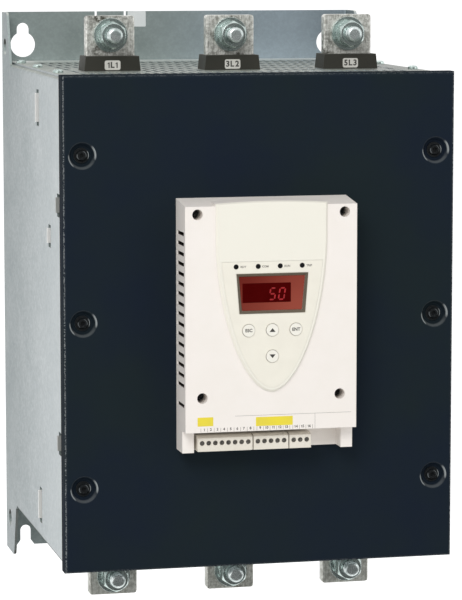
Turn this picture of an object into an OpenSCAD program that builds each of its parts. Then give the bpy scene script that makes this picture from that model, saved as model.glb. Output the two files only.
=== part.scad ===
// Wall-mounted soft starter: a folded steel box with line bars on top, load bars below,
// a painted front cover and a plastic control module with a keypad.
// The wall is the plane Y = 0, the front faces -Y, and depths are counted from the wall.

/* [Chassis] */
// Outside width of the folded chassis
chassis_w = 301; // [296:1:330]
// Height of the back plate
chassis_h = 455; // [450:1:500]
// Height of the box between the ears
box_h = 370; // [360:1:380]
// Depth of the box, from the wall to the front of its flanges
box_d = 298.8; // [297:0.1:320]
// Thickness of the chassis sheet
sheet_t = 2; // [1.5:0.1:2.5]
// Outside radius of the chassis bends
bend_r = 3.5; // [3:0.1:5]
// Width of the front flanges that take the cover screws
flange_w = 24; // [23:0.5:28]
// Width of the side flanges that carry the top and bottom plates
rim_w = 18; // [16:0.5:20]

/* [Ears and wall fixing] */
// Depth of an upper ear where it leaves the box
upper_ear_root = 44; // [40:1:50]
// Depth of an upper ear at its tip
upper_ear_tip = 28.5; // [24:0.5:34]
// Depth of a lower ear where it leaves the box
lower_ear_root = 55.5; // [50:0.5:60]
// Depth of a lower ear at its tip
lower_ear_tip = 42.5; // [36:0.5:48]
// Corner radius of the ears
ear_corner_r = 6; // [3:0.5:9]
// Radius of the lifting holes in the ears
ear_hole_r = 7; // [5:0.25:8]
// Depth of the upper lifting holes' centres
upper_hole_depth = 18.8; // [16:0.1:20]
// Depth of the lower lifting holes' centres
lower_hole_depth = 23; // [18:0.5:28]
// Distance of the lifting holes beyond the box
ear_hole_out = 14; // [12:0.5:18]
// Distance of the keyholes inside the chassis's sides
keyhole_in = 17.8; // [16:0.1:22]
// Distance of the keyholes below the top edge
keyhole_drop = 27.4; // [25:0.2:32]
// Radius of a keyhole's entry
keyhole_r = 10.5; // [9:0.1:12]
// Width of a keyhole's neck
keyhole_neck_w = 10.2; // [8:0.1:12]
// Rise from the entry's centre to the end of the neck
keyhole_rise = 13; // [11:0.5:15]
// Distance of the open slots in the bottom edge inside the chassis's sides
foot_slot_in = 16.3; // [15:0.1:20]
// Width of the open slots
foot_slot_w = 9; // [8:0.1:11]
// Length of the open slots
foot_slot_len = 17; // [14:0.5:22]
// Place of the hanger tab from the middle of the top edge
hanger_x = -57.8; // [-70:0.2:-50]
// Width of the hanger tab between its slits
hanger_w = 23; // [18:0.5:26]
// Width of the hanger slits
hanger_slit_w = 2; // [1.5:0.1:4]
// Length of the hanger slits
hanger_slit_len = 18; // [14:0.5:22]
// Radius of the hole in the hanger tab
hanger_hole_r = 4.5; // [3:0.1:6]
// Distance of that hole below the top edge
hanger_hole_drop = 10; // [8:0.5:12]

/* [Top and bottom plates] */
// Thickness of the perforated plates
plate_t = 1.5; // [1:0.1:2]
// Width of a vent slot
vent_w = 3.6; // [2.5:0.1:4.5]
// Length of a vent slot
vent_len = 30; // [24:0.5:33]
// Distance between vent slots along a row
vent_pitch = 7; // [6.5:0.1:9]
// Distance between the rows of vent slots
vent_row = 38.5; // [38:0.5:46]
// Plain strip behind the first row of vents
vent_strip = 46; // [40:1:52]
// Depths of the plate screws from the wall
plate_screw_depths = [48, 131, 227];
// Radius of a plate screw's shank
plate_screw_r = 2; // [1.5:0.1:2.5]

/* [Front cover] */
// Thickness of the cover sheet
cover_t = 1.2; // [1:0.1:1.5]
// Depth of the cover's turned-back edge
cover_edge_d = 14.5; // [12:0.5:18]
// Outside radius of the cover's bends
cover_bend_r = 3; // [2:0.1:4]
// Depth of the pressed cups round the cover screws
cup_depth = 5; // [4:0.1:7]
// Radius of a cup at the cover's face
cup_mouth_r = 10.2; // [9:0.1:10.6]
// Radius of a cup's floor
cup_floor_r = 7.6; // [7:0.1:8]
// Distance of the cover screws inside the chassis's sides
cover_screw_in = 13.5; // [12.5:0.1:14.5]
// Distance between the cover screws, upwards
cover_screw_pitch = 126; // [110:1:140]
// Height of the middle row of cover screws above the cover's middle
cover_screw_lift = 2.2; // [0:0.1:4]
// Radius of a cover screw's shank
cover_screw_r = 2.5; // [2:0.1:3]
// Length of a cover screw below its head
cover_screw_len = 12; // [8:0.5:16]

/* [Power bars] */
// Distance of the outer phases inside the chassis's sides
phase_in = 55; // [52:0.5:58]
// Width of a bar
bar_w = 38.5; // [34:0.5:40]
// Thickness of a bar
bar_t = 8; // [6:0.5:10]
// Distance of the bars' back faces behind the box's front
bar_in = 106.8; // [100:0.2:112]
// Reach of the bars beyond the plates
bar_reach = 42.5; // [40:0.5:46]
// Corner radius at a bar's end
bar_corner_r = 2.5; // [1:0.25:4]
// Chamfer along a bar's long edges
bar_edge = 0.9; // [0.5:0.1:1.5]
// Distance from a bar's end to its stud
stud_drop = 15; // [14:0.5:17]
// Radius of a terminal stud
stud_r = 6; // [5:0.5:6]
// Width across the flats of the stud's nut and head
nut_flats = 19; // [18:0.5:19]
// Height of a stud's nut
nut_h = 10; // [8:0.5:12]
// Height of a stud's head behind the bar
stud_head_h = 7.5; // [6:0.5:9]
// Length of a stud beyond its nut
stud_free = 8; // [5:0.5:12]
// Step in radius from a stud's shank to its free end
stud_step = 0.3; // [0.2:0.05:0.6]
// Length of the neck between a stud's shank and its free end
stud_neck = 0.8; // [0.6:0.1:1.5]
// Chamfer at a stud's free end
stud_chamfer = 1.5; // [0.5:0.1:2]
// Outer radius of the flat washers
flat_washer_r = 13.3; // [12:0.1:14]
// Outer radius of the spring washers
spring_washer_r = 10.2; // [9:0.1:11]
// Thickness of both kinds of washer
washer_t = 2.5; // [2:0.1:3]

/* [Collars] */
// Width of an insulating collar at the plate
collar_w = 44.5; // [44:0.5:50]
// Width of a collar at its outer end
collar_end_w = 42; // [41.5:0.5:44]
// Depth of a collar from front to back
collar_d = 26; // [22:0.5:30]
// Height of a collar above the plate
collar_h = 11.5; // [10:0.5:12]
// Wall of the spigot that passes the plate
spigot_wall = 1.5; // [1:0.1:2]
// Width of a terminal label
label_w = 12.4; // [10:0.2:16]
// Height of a terminal label
label_h = 7.4; // [6:0.2:8]
// Thickness of a terminal label
label_t = 0.6; // [0.4:0.1:1]

/* [Power stack] */
// Thickness of a thyristor block from the heat sink to its bar
thyristor_d = 52; // [48:1:56]
// Width of a thyristor block
thyristor_w = 60; // [50:1:64]
// Height of a thyristor block
thyristor_h = 120; // [110:1:130]
// Distance of a block's terminals from its middle
thyristor_terminal = 38; // [34:0.5:42]
// Thickness of the heat sink's base
sink_base_t = 16; // [12:0.5:20]
// Thickness of a heat sink fin
fin_t = 3; // [2:0.25:4]
// Number of heat sink fins
fin_count = 23; // [15:1:26]
// Distance of the outer fins inside the base's ends
fin_in = 3; // [2.5:0.25:6]
// Free height between the fans and the heat sink, and above it
sink_gap = 12; // [6:1:20]
// Radius of the screws that hold the bars to the thyristor blocks
bar_screw_r = 4; // [3:0.5:4.5]
// Reach of those screws into the blocks
bar_screw_len = 12; // [10:0.5:13]
// Width of a current transformer
transformer_w = 64; // [56:1:70]
// Height of a current transformer
transformer_h = 26; // [20:1:30]
// Depth of a current transformer
transformer_d = 52; // [40:1:56]
// Distance from a thyristor block to its current transformer
transformer_gap = 14; // [8:1:20]
// Width of the straps that carry the bars
strap_w = 36; // [32:1:40]
// Distance of the straps inside the box's ends
strap_in = 27.5; // [26:0.5:34]
// Length of the insulators between the straps and the bars
insulator_len = 10; // [8:0.5:12]
// Radius of those insulators
insulator_r = 11; // [8:0.5:14]
// Length of a strap's tab in the side wall
strap_tab_len = 22.5; // [20:0.5:28]

/* [Fans] */
// Distance from a fan frame to the chassis's flange
fan_margin = 11; // [8:0.5:14]
// Height of a fan frame
fan_h = 38; // [30:1:40]
// Distance of a fan's screws inside the edges of its frame
fan_screw_in = 7; // [6:0.5:9]
// Length of a fan's screws in its frame
fan_screw_len = 14; // [10:0.5:20]
// Gap between the two fans
fan_gap = 5; // [3:0.5:10]
// Distance from the wall to the fan frames
fan_back = 5.5; // [4:0.5:10]
// Least wall between a fan's opening and the edge of its frame
fan_wall = 3; // [2.5:0.25:6]
// Radius of a fan's motor hub
fan_hub_r = 22; // [18:0.5:26]
// Radius of a fan's shaft
fan_shaft_r = 3; // [2:0.25:4]
// Number of fan blades
blade_count = 7; // [5:1:9]
// Slope of a fan blade
blade_tilt = 38; // [25:1:50]

/* [Inner sheet parts] */
// Distance of the control module's bracket behind the box's front
bracket_in = 24.8; // [22:0.2:28]
// Thickness of the bracket and the tray
bracket_t = 2; // [1.5:0.1:2.5]
// Height of the bracket's upper tabs
bracket_tab_up = 89; // [84:0.5:92]
// Distance of the bracket's lower tabs below the middle
bracket_tab_down = 93; // [88:0.5:98]
// Length of the tabs on the bracket and the tray
tab_len = 11.5; // [10:0.5:15]
// How far the tabs stand out of the side walls
tab_out = 1.4; // [0.5:0.1:1.4]
// Distance of the gate board's tray behind the bracket
tray_in = 40.5; // [36:0.5:44]
// Height of the tray's middle
tray_up = 62; // [56:0.5:68]
// Height of the tray
tray_h = 80; // [70:1:90]
// Distance of the gate board inside the chassis's sides
gate_board_in = 40.5; // [30:0.5:50]
// Height of the gate board
gate_board_h = 66; // [58:1:68]
// Length of the gate board's standoffs
standoff_len = 6; // [4:0.5:8]
// Distance between the gate board's pulse transformers
pulse_pitch = 30; // [26:0.5:32]
// Height of the pulse transformers on the board
pulse_h = 16; // [12:0.5:18]
// Height of the plugs on the board
plug_h = 12; // [8:0.5:14]
// Thickness of the circuit boards
board_t = 1.6; // [1.2:0.1:2]

/* [Control module] */
// Width of the control module
module_w = 132; // [128:0.5:140]
// Height of the control module against the cover
module_h = 190.5; // [188:0.5:196]
// How far the module's face stands in front of the cover
module_proud = 32.5; // [30:0.5:38]
// Fall of the module's top from the cover to its face
module_slope = 3.8; // [0:0.1:6]
// Depth of the base's rim, from the cover to the front shell
module_rim = 13; // [11:0.5:16]
// Wall of the module's mouldings
module_wall = 2.5; // [2:0.1:3]
// How far the rim overlaps the opening in the cover
module_lap = 4; // [3:0.5:6]
// Height of the terminal ledge below the front shell
ledge_h = 17; // [16:0.5:20]
// Width of the feet on each side of the terminals
foot_w = 9; // [7:0.5:10]
// How far the feet stand in front of the rim
foot_proud = 8; // [6:0.5:10]
// Sideways distance of the upper module screws from the middle
module_screw_x = 56.5; // [55:0.1:57]
// Height of the upper module screws below the shell's top
module_screw_drop = 6; // [5.8:0.1:9]
// Sideways distance of the lower module screws from the middle
module_low_screw_x = 53; // [51:0.1:56]
// Height of the lower module screws above the shell's bottom
module_screw_lift = 26; // [20:0.5:32]
// Radius of the wells round the module screws
screw_well_r = 4; // [3.6:0.1:4.4]
// Radius of a module screw's shank
module_screw_r = 1.7; // [1.5:0.1:1.9]
// Length of a module screw below its head
module_screw_len = 18; // [14:0.5:20]
// Number of side vents in a row
side_vent_count = 18; // [10:1:19]
// Distance between the side vents
side_vent_pitch = 7.6; // [7:0.1:8]
// Height of a side vent
side_vent_h = 3; // [2.5:0.1:4]
// Length of a side vent along the depth
side_vent_len = 24; // [18:0.5:25]
// Distance of the side vents behind the module's face
side_vent_in = 4.5; // [3:0.1:5]

/* [Keypad tongue] */
// Width of the raised tongue at its top
tongue_w = 86; // [80:0.5:90]
// How far the tongue stands in front of the module's face
tongue_proud = 2.5; // [1.5:0.1:4]
// Height at which the tongue starts to narrow
tongue_shoulder = 66; // [60:0.5:70]
// Height of the tongue's lower tip
tongue_tip = -49; // [-50:0.5:-44]
// Slope of the tongue's sides, as the margin that they draw in
tongue_slope = 1.8; // [0.5:0.1:2.5]
// Rise of the tongue's arched top edge
tongue_crown = 1.5; // [0.5:0.1:2]
// Margin between the tongue's edge and the keypad film
film_margin = 3.6; // [3:0.1:5]
// Height of the film's upper edge
film_top = 49.8; // [49:0.1:52]
// Thickness of the film
film_t = 0.3; // [0.2:0.05:0.5]
// Width of the display window at its top
window_w = 55; // [50:0.5:58]
// Width of the display window at its bottom
window_low_w = 50.4; // [46:0.2:52]
// Height of the display window
window_h = 30; // [26:0.5:31]
// Height of the window's middle
window_up = 25.8; // [25:0.1:27]
// Width of the bevel round the window
window_bevel = 2; // [1:0.1:3]
// Depth of the bevel round the window
bevel_d = 1.2; // [0.6:0.1:2]
// Number of indicator lamps
lamp_count = 4; // [2:1:4]
// Distance between the indicator lamps
lamp_pitch = 16.9; // [14:0.1:18]
// Place of the lamps' row from the middle
lamp_x = -2.4; // [-4:0.1:0]
// Height of the lamps' row
lamp_up = 46.2; // [46:0.1:46.6]
// Radius of an indicator lamp
lamp_r = 1.8; // [1.2:0.1:2]
// Radius of a key
key_r = 4.65; // [4:0.05:5]
// Distance between the keys along their row
key_pitch = 18.2; // [16:0.1:20]
// Height of the row of keys
key_up = -1.8; // [-3:0.1:0]
// Drop from the row to the lowest key
key_drop = 19.8; // [17:0.1:22]
// How far a key stands in front of the tongue
key_proud = 0.7; // [0.6:0.1:1.2]
// Travel of a key
key_travel = 0.6; // [0.4:0.1:0.8]

/* [Terminal blocks] */
// Number of poles on each block, from left to right
block_poles = [8, 5, 3];
// Distance between poles
pole_pitch = 5.08; // [5:0.01:5.2]
// Width of a block beyond its poles
block_extra = 1.5; // [1:0.1:1.8]
// Gap between the blocks
block_gap = 0.9; // [0.5:0.1:1]
// Distance of the first block from the left foot
block_inset = 2; // [1:0.1:3]
// Height of a block
block_h = 11.6; // [10:0.1:13]
// Height of the blocks above the lower ends of the feet
block_lift = 1.5; // [0.5:0.1:3]
// Depth of the slope along a block's upper edge
block_slope = 5; // [2:0.5:7]
// How far the blocks stand in front of the feet
block_proud = 4.5; // [2:0.1:5]
// Height of the block screws above the block's bottom
pole_screw_up = 6.3; // [5.5:0.1:7.5]
// Radius of a block screw
pole_screw_r = 1.7; // [1.2:0.05:1.8]

/* [Fits] */
// Gap between the cover and the chassis it slips over
cover_gap = 0.3; // [0.2:0.05:0.5]
// Gap round inner parts that drop between the side walls
drop_gap = 0.25; // [0.15:0.05:0.4]
// Gap round tabs in their slots
tab_gap = 0.6; // [0.4:0.1:0.8]
// Room above and below a tab in its slot
tab_end_gap = 3; // [1:0.1:4]
// Room in front of a tab in its slot
tab_front_gap = 8; // [4:0.5:10]
// Gap between a screw and its hole
screw_gap = 0.15; // [0.1:0.05:0.3]
// Gap between the bars and what they pass through
bar_gap = 0.25; // [0.15:0.05:0.4]
// Running gap between a fan's shaft and its rotor
shaft_gap = 0.05; // [0.03:0.01:0.08]
// Gap round the keys, lamps and window
key_gap = 0.3; // [0.25:0.05:0.4]

/* [Hidden] */
$fn = 40;
// Overshoot of cutting shapes past the face they open
cut = 1;

// Box and cover
half_w = chassis_w / 2;
inner_w = half_w - sheet_t;
box_top = box_h / 2;
plate_top = box_top + plate_t;
plate_w = chassis_w - 2 * bend_r - 1;
plate_front = box_d - 3;
plate_back = sheet_t + 0.3;
cover_screw_x = half_w - cover_screw_in;
cover_half_w = half_w + cover_gap + cover_t;
cover_half_h = plate_top + cover_gap + cover_t;
cover_face = box_d + cover_t + cup_depth;
rear_vent = vent_strip + vent_len / 2;
plate_screw_x = half_w - rim_w / 2;
plate_screw_head_r = plate_screw_r * 2;

// Power bars
phase_pitch = half_w - phase_in;
bar_back = box_d - bar_in;
bar_front = bar_back + bar_t;
bar_mid = bar_back + bar_t / 2;
bar_end = plate_top + bar_reach;
stud_z = bar_end - stud_drop;
bar_inner_end = thyristor_terminal - 18;
nut_depth = bar_front + 2 * washer_t;
nut_front = nut_depth + nut_h;
stud_end = nut_front + stud_free;
free_start = nut_front + 0.4 + stud_neck;
free_r = stud_r - stud_step;
spigot_w = bar_w + 2 * (bar_gap + spigot_wall);
spigot_d = bar_t + 2 * (bar_gap + spigot_wall);
label_up = label_h / 2 + 0.8;

// Power stack
sink_front = bar_back - thyristor_d;
sink_fin_root = sink_front - sink_base_t;
sink_low = -box_top + fan_h + sink_gap;
sink_high = box_top - sink_gap;
strap_depth = bar_back - insulator_len;
strap_z = box_top - strap_in;
transformer_z = thyristor_h / 2 + transformer_gap + transformer_h / 2;

// Inner sheets
bracket_depth = box_d - bracket_in;
tray_depth = bracket_depth - tray_in;
gate_board_w = chassis_w - 2 * gate_board_in;

// Fans
fan_w = half_w - rim_w - fan_margin - fan_gap / 2;
fan_x = (fan_w + fan_gap) / 2;
fan_depth = fan_back + fan_w / 2;
fan_screw_pitch = fan_w - 2 * fan_screw_in;
fan_bore_r = fan_w / 2 - fan_wall;
fan_low = -box_top;
fan_hub_t = 4;
blade_r = fan_bore_r - 2;
rotor_low = fan_low + 6;
rotor_high = fan_low + fan_h - fan_hub_t - 0.6;

// Control module
module_top = module_h / 2;
module_bottom = -module_h / 2;
shell_bottom = module_bottom + ledge_h;
shell_back = cover_face + module_rim;
module_face = cover_face + module_proud;
shell_inside = module_face - module_wall;
tongue_face = module_face + tongue_proud;
shell_top = module_top - module_slope;
neck_w = module_w - 2 * module_lap;
neck_low = module_bottom + module_lap;
neck_high = module_top - module_lap;
control_board_back = shell_back - 4;
control_board_front = control_board_back + board_t;
control_board_w = 92;
control_board_low = shell_bottom + module_wall + 2;
control_board_high = shell_top - module_wall - 2;
module_screw_spots = [
    [-module_screw_x, shell_top - module_screw_drop], [module_screw_x, shell_top - module_screw_drop],
    [-module_low_screw_x, shell_bottom + module_screw_lift],
    [module_low_screw_x, shell_bottom + module_screw_lift]
];
screw_seat = shell_back + 4;
board_post_spots = [
    for (side = [-1, 1], z = [control_board_low + 4, control_board_high - 4])
        [side * (control_board_w / 2 - 4), z]
];
foot_front = shell_back + foot_proud;
ledge_floor = cover_face + 7;
block_front = foot_front + block_proud;
block_low = module_bottom + block_lift;
block_starts = [
    for (i = [0 : len(block_poles) - 1])
        -module_w / 2 + foot_w + block_inset + i * (block_gap + block_extra) + poles_before(i) * pole_pitch
];
switch_h = 4.3;
switch_front = control_board_front + switch_h;
key_flange_t = 1.5;
key_flange_front = shell_inside - key_gap;

// Places of the keys: left, top, right and bottom
key_spots = [[-key_pitch, key_up], [0, key_up], [key_pitch, key_up], [0, key_up - key_drop]];
lamp_spots = [for (i = [0 : lamp_count - 1]) [lamp_x + (i - (lamp_count - 1) / 2) * lamp_pitch, lamp_up]];
stud_spots = [for (phase = [-1 : 1], side = [-1, 1]) [phase * phase_pitch, side * stud_z]];
cover_screw_spots = [
    for (side = [-1, 1], row = [-1 : 1])
        [side * cover_screw_x, row * cover_screw_pitch + cover_screw_lift]
];
fan_screw_spots = [
    for (fan = [-1, 1], side = [-1, 1], row = [-1, 1])
        [fan * fan_x + side * fan_screw_pitch / 2, fan_depth + row * fan_screw_pitch / 2]
];

function unit(v) = v / norm(v);

// Number of poles on the blocks to the left of block i
function poles_before(i) = i == 0 ? 0 : block_poles[i - 1] + poles_before(i - 1);

// Corner i of an outline as an arc; each outline point is [x, y, radius]
function corner_arc(pts, i, steps) =
    let (
        p = [pts[i][0], pts[i][1]],
        before = pts[(i + len(pts) - 1) % len(pts)],
        after = pts[(i + 1) % len(pts)],
        u = unit([before[0], before[1]] - p),
        v = unit([after[0], after[1]] - p),
        half = acos(u * v) / 2,
        centre = p + unit(u + v) * pts[i][2] / sin(half),
        from = p + u * pts[i][2] / tan(half) - centre,
        to = p + v * pts[i][2] / tan(half) - centre,
        start = atan2(from[1], from[0]),
        turn = (atan2(to[1], to[0]) - start + 540) % 360 - 180
    )
    [for (k = [0 : steps]) let (a = start + turn * k / steps) centre + pts[i][2] * [cos(a), sin(a)]];

// Outline with its corners rounded; a corner of radius 0 stays sharp
function rounded(pts, steps = 6) = [
    for (i = [0 : len(pts) - 1]) each pts[i][2] > 0 ? corner_arc(pts, i, steps) : [[pts[i][0], pts[i][1]]]
];

// Height of the control module's sloping top at a depth
function top_at(depth) = module_top - module_slope * (depth - cover_face) / module_proud;

// Half width of the tongue at a height: straight down to the shoulder, then drawn in to a round tip
function tongue_half(z, margin) =
    let (t = min(1, max(0, (tongue_shoulder - z) / (tongue_shoulder - tongue_tip - margin))))
    (tongue_w / 2 - margin) * pow(1 - pow(t, 1.8), 0.55);

// One side of the tongue from its shoulder to its tip, drawn in by a margin
function tongue_side(margin, top, steps = 16) = [
    for (k = [0 : steps - 1])
        let (z = top - (top - tongue_tip - margin) * sin(90 * k / steps))
        [tongue_half(z, margin), z]
];

// Outline of the tongue with its arched top edge, drawn in by a margin
function tongue_outline(margin) = concat(
    tongue_side(margin, tongue_shoulder),
    [[0, tongue_tip + margin]],
    [for (p = reverse(tongue_side(margin, tongue_shoulder))) [-p[0], p[1]]],
    [for (k = [0 : 8]) let (x = (tongue_w - 2 * margin) * (k / 8 - 0.5))
        [x, shell_top + 2 - margin / 2 + tongue_crown * (1 - pow(2 * x / tongue_w, 2))]]
);

// Outline of the keypad film, a margin inside the tongue
function film_outline(margin) = concat(
    tongue_side(margin, film_top - margin + film_margin),
    [[0, tongue_tip + margin]],
    [for (p = reverse(tongue_side(margin, film_top - margin + film_margin))) [-p[0], p[1]]]
);

// Outline of the display window, drawn in by a margin
function window_outline(margin) = [
    [-window_w / 2 + margin, window_up + window_h / 2 - margin],
    [window_w / 2 - margin, window_up + window_h / 2 - margin],
    [window_low_w / 2 - margin, window_up - window_h / 2 + margin],
    [-window_low_w / 2 + margin, window_up - window_h / 2 + margin]
];

function reverse(list) = [for (i = [len(list) - 1 : -1 : 0]) list[i]];

// True where a vent slot stays clear of the bars and of the fan screws
function vent_is_free(x, depth, screws) =
    min([for (phase = [-1 : 1]) max(abs(x - phase * phase_pitch) - collar_w / 2,
        abs(depth - bar_mid) - collar_d / 2 - vent_len / 2)]) > vent_w / 2 + 1
    && min([for (s = screws) max(abs(x - s[0]), abs(depth - s[1]) - vent_len / 2)]) > vent_w / 2 + 3;

// Box between two opposite corners
module slab(low, high) {
    translate(low) cube(high - low);
}

// Shape drawn in the front view and carried from one depth to a greater one
module front_prism(pts, back, front) {
    translate([0, -back, 0]) rotate([90, 0, 0]) linear_extrude(front - back) polygon(pts);
}

// Shape drawn in the side view, as [Y, Z], and carried across
module side_prism(pts, left, right) {
    translate([left, 0, 0]) rotate([90, 0, 90]) linear_extrude(right - left) polygon(pts);
}

// Round bar along the depth
module rod(spot, back, front, r) {
    translate([spot[0], -back, spot[1]]) rotate([90, 0, 0]) cylinder(r = r, h = front - back);
}

// Six-sided bar along the depth
module hex_rod(spot, back, front, flats) {
    translate([spot[0], -back, spot[1]]) rotate([90, 30, 0])
        cylinder(d = flats / cos(30), h = front - back, $fn = 6);
}

// Taper along the depth
module cone(spot, back, front, back_r, front_r) {
    translate([spot[0], -back, spot[1]]) rotate([90, 0, 0])
        cylinder(r1 = back_r, r2 = front_r, h = front - back);
}

// Rectangle from the front to the wall with the two corners at one end rounded
module rounded_end(width, length, r) {
    translate([-width / 2, 0]) square([width, length - r]);
    translate([-width / 2 + r, length - r - 0.01]) square([width - 2 * r, r + 0.01]);
    for (side = [-1, 1]) translate([side * (width / 2 - r), length - r]) circle(r);
}

// Chassis: one sheet folded to a back, two sides with their ears, and flanges
module chassis() {
    color("#b3b8ba") difference() {
        union() {
            intersection() {
                folded_channel();
                side_prism(rounded(side_outline()), -half_w - cut, half_w + cut);
            }
            for (side = [0, 1]) mirror([side, 0, 0]) side_flanges();
        }
        for (side = [0, 1]) mirror([side, 0, 0]) {
            keyhole();
            foot_slot();
            ear_holes();
            tab_slots();
            rounded_rims();
        }
        hanger_slits();
        for (spot = cover_screw_spots)
            rod(spot, box_d - sheet_t - cut, box_d + cut, cover_screw_r + screw_gap);
        for (end = [-1, 1]) plate_screw_holes(end * (box_top - sheet_t / 2));
    }
}

// Channel section of the back and sides, run up the full height
module folded_channel() {
    translate([0, 0, -chassis_h / 2]) linear_extrude(chassis_h) difference() {
        translate([0, -box_d]) rounded_end(chassis_w, box_d, bend_r);
        translate([0, -box_d - cut]) rounded_end(2 * inner_w, box_d + cut - sheet_t, bend_r - sheet_t);
    }
}

// Side view of the chassis: the box with an ear above and below
function side_outline() = [
    [1, chassis_h / 2, 0], [-upper_ear_tip, chassis_h / 2, ear_corner_r],
    [-upper_ear_root, box_top, 2], [-box_d - cut, box_top, 0],
    [-box_d - cut, -box_top, 0], [-lower_ear_root, -box_top, 2],
    [-lower_ear_tip, -chassis_h / 2, ear_corner_r], [1, -chassis_h / 2, 0]
];

// Inward flanges on the right side: at the front, the top and the bottom
module side_flanges() {
    slab([half_w - flange_w, -box_d, -box_top + 4], [half_w - 0.5, -box_d + sheet_t, box_top - 4]);
    for (end = [0, 1]) mirror([0, 0, end])
        slab([half_w - rim_w, -box_d + 5, box_top - sheet_t], [half_w - 0.5, -sheet_t, box_top]);
}

// Bends along the top and bottom edges of the right side, in front of the ears
module rounded_rims() {
    rim_bend(upper_ear_root + 3);
    mirror([0, 0, 1]) rim_bend(lower_ear_root + 3);
}

module rim_bend(back) {
    translate([half_w - bend_r, -back, box_top - bend_r]) rotate([90, 0, 0]) difference() {
        cube([bend_r + cut, bend_r + cut, box_d]);
        translate([0, 0, -cut]) cylinder(r = bend_r, h = box_d + 2 * cut);
    }
}

module keyhole() {
    spot = [half_w - keyhole_in, chassis_h / 2 - keyhole_drop];
    rod(spot, -cut, sheet_t + cut, keyhole_r);
    rod(spot + [0, keyhole_rise], -cut, sheet_t + cut, keyhole_neck_w / 2);
    slab([spot[0] - keyhole_neck_w / 2, -sheet_t - cut, spot[1]],
        [spot[0] + keyhole_neck_w / 2, cut, spot[1] + keyhole_rise]);
}

// Open slot in the bottom edge, with a flared mouth
module foot_slot() {
    x = half_w - foot_slot_in;
    low = -chassis_h / 2;
    neck = low + foot_slot_len - foot_slot_w / 2;
    rod([x, neck], -cut, sheet_t + cut, foot_slot_w / 2);
    slab([x - foot_slot_w / 2, -sheet_t - cut, low - cut], [x + foot_slot_w / 2, cut, neck]);
    front_prism([[x - foot_slot_w / 2 - 3, low - 0.1], [x + foot_slot_w / 2 + 3, low - 0.1],
        [x + foot_slot_w / 2, low + 4], [x - foot_slot_w / 2, low + 4]], -cut, sheet_t + cut);
}

module ear_holes() {
    across_hole(upper_hole_depth, box_top + ear_hole_out);
    across_hole(lower_hole_depth, -box_top - ear_hole_out);
}

module across_hole(depth, z) {
    translate([inner_w - cut, -depth, z]) rotate([0, 90, 0]) cylinder(r = ear_hole_r, h = sheet_t + 2 * cut);
}

// Slots in the side walls that take the tabs of the straps, the bracket and the tray
module tab_slots() {
    for (end = [-1, 1]) tab_slot(strap_depth, end * strap_z, strap_tab_len, sheet_t);
    tab_slot(bracket_depth, bracket_tab_up, tab_len, bracket_t);
    tab_slot(bracket_depth, -bracket_tab_down, tab_len, bracket_t);
    tab_slot(tray_depth, tray_up, tab_len, bracket_t);
}

// Opening round one tab, with most of its room in front of the tab
module tab_slot(front, z, length, thickness) {
    half_len = length / 2 + tab_end_gap;
    slab([inner_w - cut, -front - tab_front_gap, z - half_len],
        [half_w + cut, -front + thickness + tab_gap, z + half_len]);
}

// Two slits that leave a hanger tab in the top edge, and the tab's hole
module hanger_slits() {
    rod([hanger_x, chassis_h / 2 - hanger_hole_drop], -cut, sheet_t + cut, hanger_hole_r);
    for (side = [-1, 1]) {
        x = hanger_x + side * (hanger_w + hanger_slit_w) / 2;
        slab([x - hanger_slit_w / 2, -sheet_t - cut, chassis_h / 2 - hanger_slit_len],
            [x + hanger_slit_w / 2, cut, chassis_h / 2 + cut]);
    }
}

module plate_screw_holes(z) {
    for (side = [-1, 1], depth = plate_screw_depths) translate([side * plate_screw_x, -depth, z])
        cylinder(r = plate_screw_r + screw_gap, h = sheet_t + plate_t + 2 * cut, center = true);
}

// Perforated plate with openings for the collars, lying with its lower face at Z = 0
module vent_plate(screws) {
    vent_cols = floor((half_w - rim_w - 6) / vent_pitch);
    vent_rows = floor((plate_front - 12 - vent_strip - vent_len) / vent_row);
    linear_extrude(plate_t) difference() {
        translate([-plate_w / 2, -plate_front]) square([plate_w, plate_front - plate_back]);
        for (col = [-vent_cols : vent_cols], row = [0 : vent_rows])
            if (vent_is_free(col * vent_pitch, rear_vent + row * vent_row, screws))
                translate([col * vent_pitch, -rear_vent - row * vent_row]) vent_slot();
        for (phase = [-1 : 1]) translate([phase * phase_pitch, -bar_mid])
            square([spigot_w + 2 * bar_gap, spigot_d + 2 * bar_gap], center = true);
        for (side = [-1, 1], depth = plate_screw_depths) translate([side * plate_screw_x, -depth])
            circle(plate_screw_r + screw_gap);
        for (spot = screws) translate([spot[0], -spot[1]]) circle(plate_screw_r + screw_gap);
    }
}

// Vent slot with round ends, running front to back
module vent_slot() {
    straight = vent_len - vent_w;
    square([vent_w, straight], center = true);
    for (end = [-1, 1]) translate([0, end * straight / 2]) circle(vent_w / 2);
}

module top_plate() {
    color("#a9aeb0") translate([0, 0, box_top]) vent_plate([[half_w * 4, 0]]);
}

module bottom_plate() {
    color("#a9aeb0") translate([0, 0, -plate_top]) vent_plate(fan_screw_spots);
}

// Pan-head screw that points down, with its seat at Z = 0
module pan_screw(r, length) {
    difference() {
        union() {
            cylinder(r = r * 2, h = r * 0.8);
            translate([0, 0, r * 0.8]) cylinder(r1 = r * 2, r2 = r * 1.3, h = r * 0.5);
            translate([0, 0, -length]) cylinder(r = r, h = length);
        }
        for (turn = [0, 90]) rotate(turn) translate([0, 0, r * 1.3])
            cube([r * 2.2, r * 0.5, r], center = true);
    }
}

module plate_screws() {
    color("#c4c9ca") for (end = [0, 1], side = [-1, 1], depth = plate_screw_depths) mirror([0, 0, end])
        translate([side * plate_screw_x, -depth, plate_top]) pan_screw(plate_screw_r, plate_t + sheet_t + 4);
}

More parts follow.
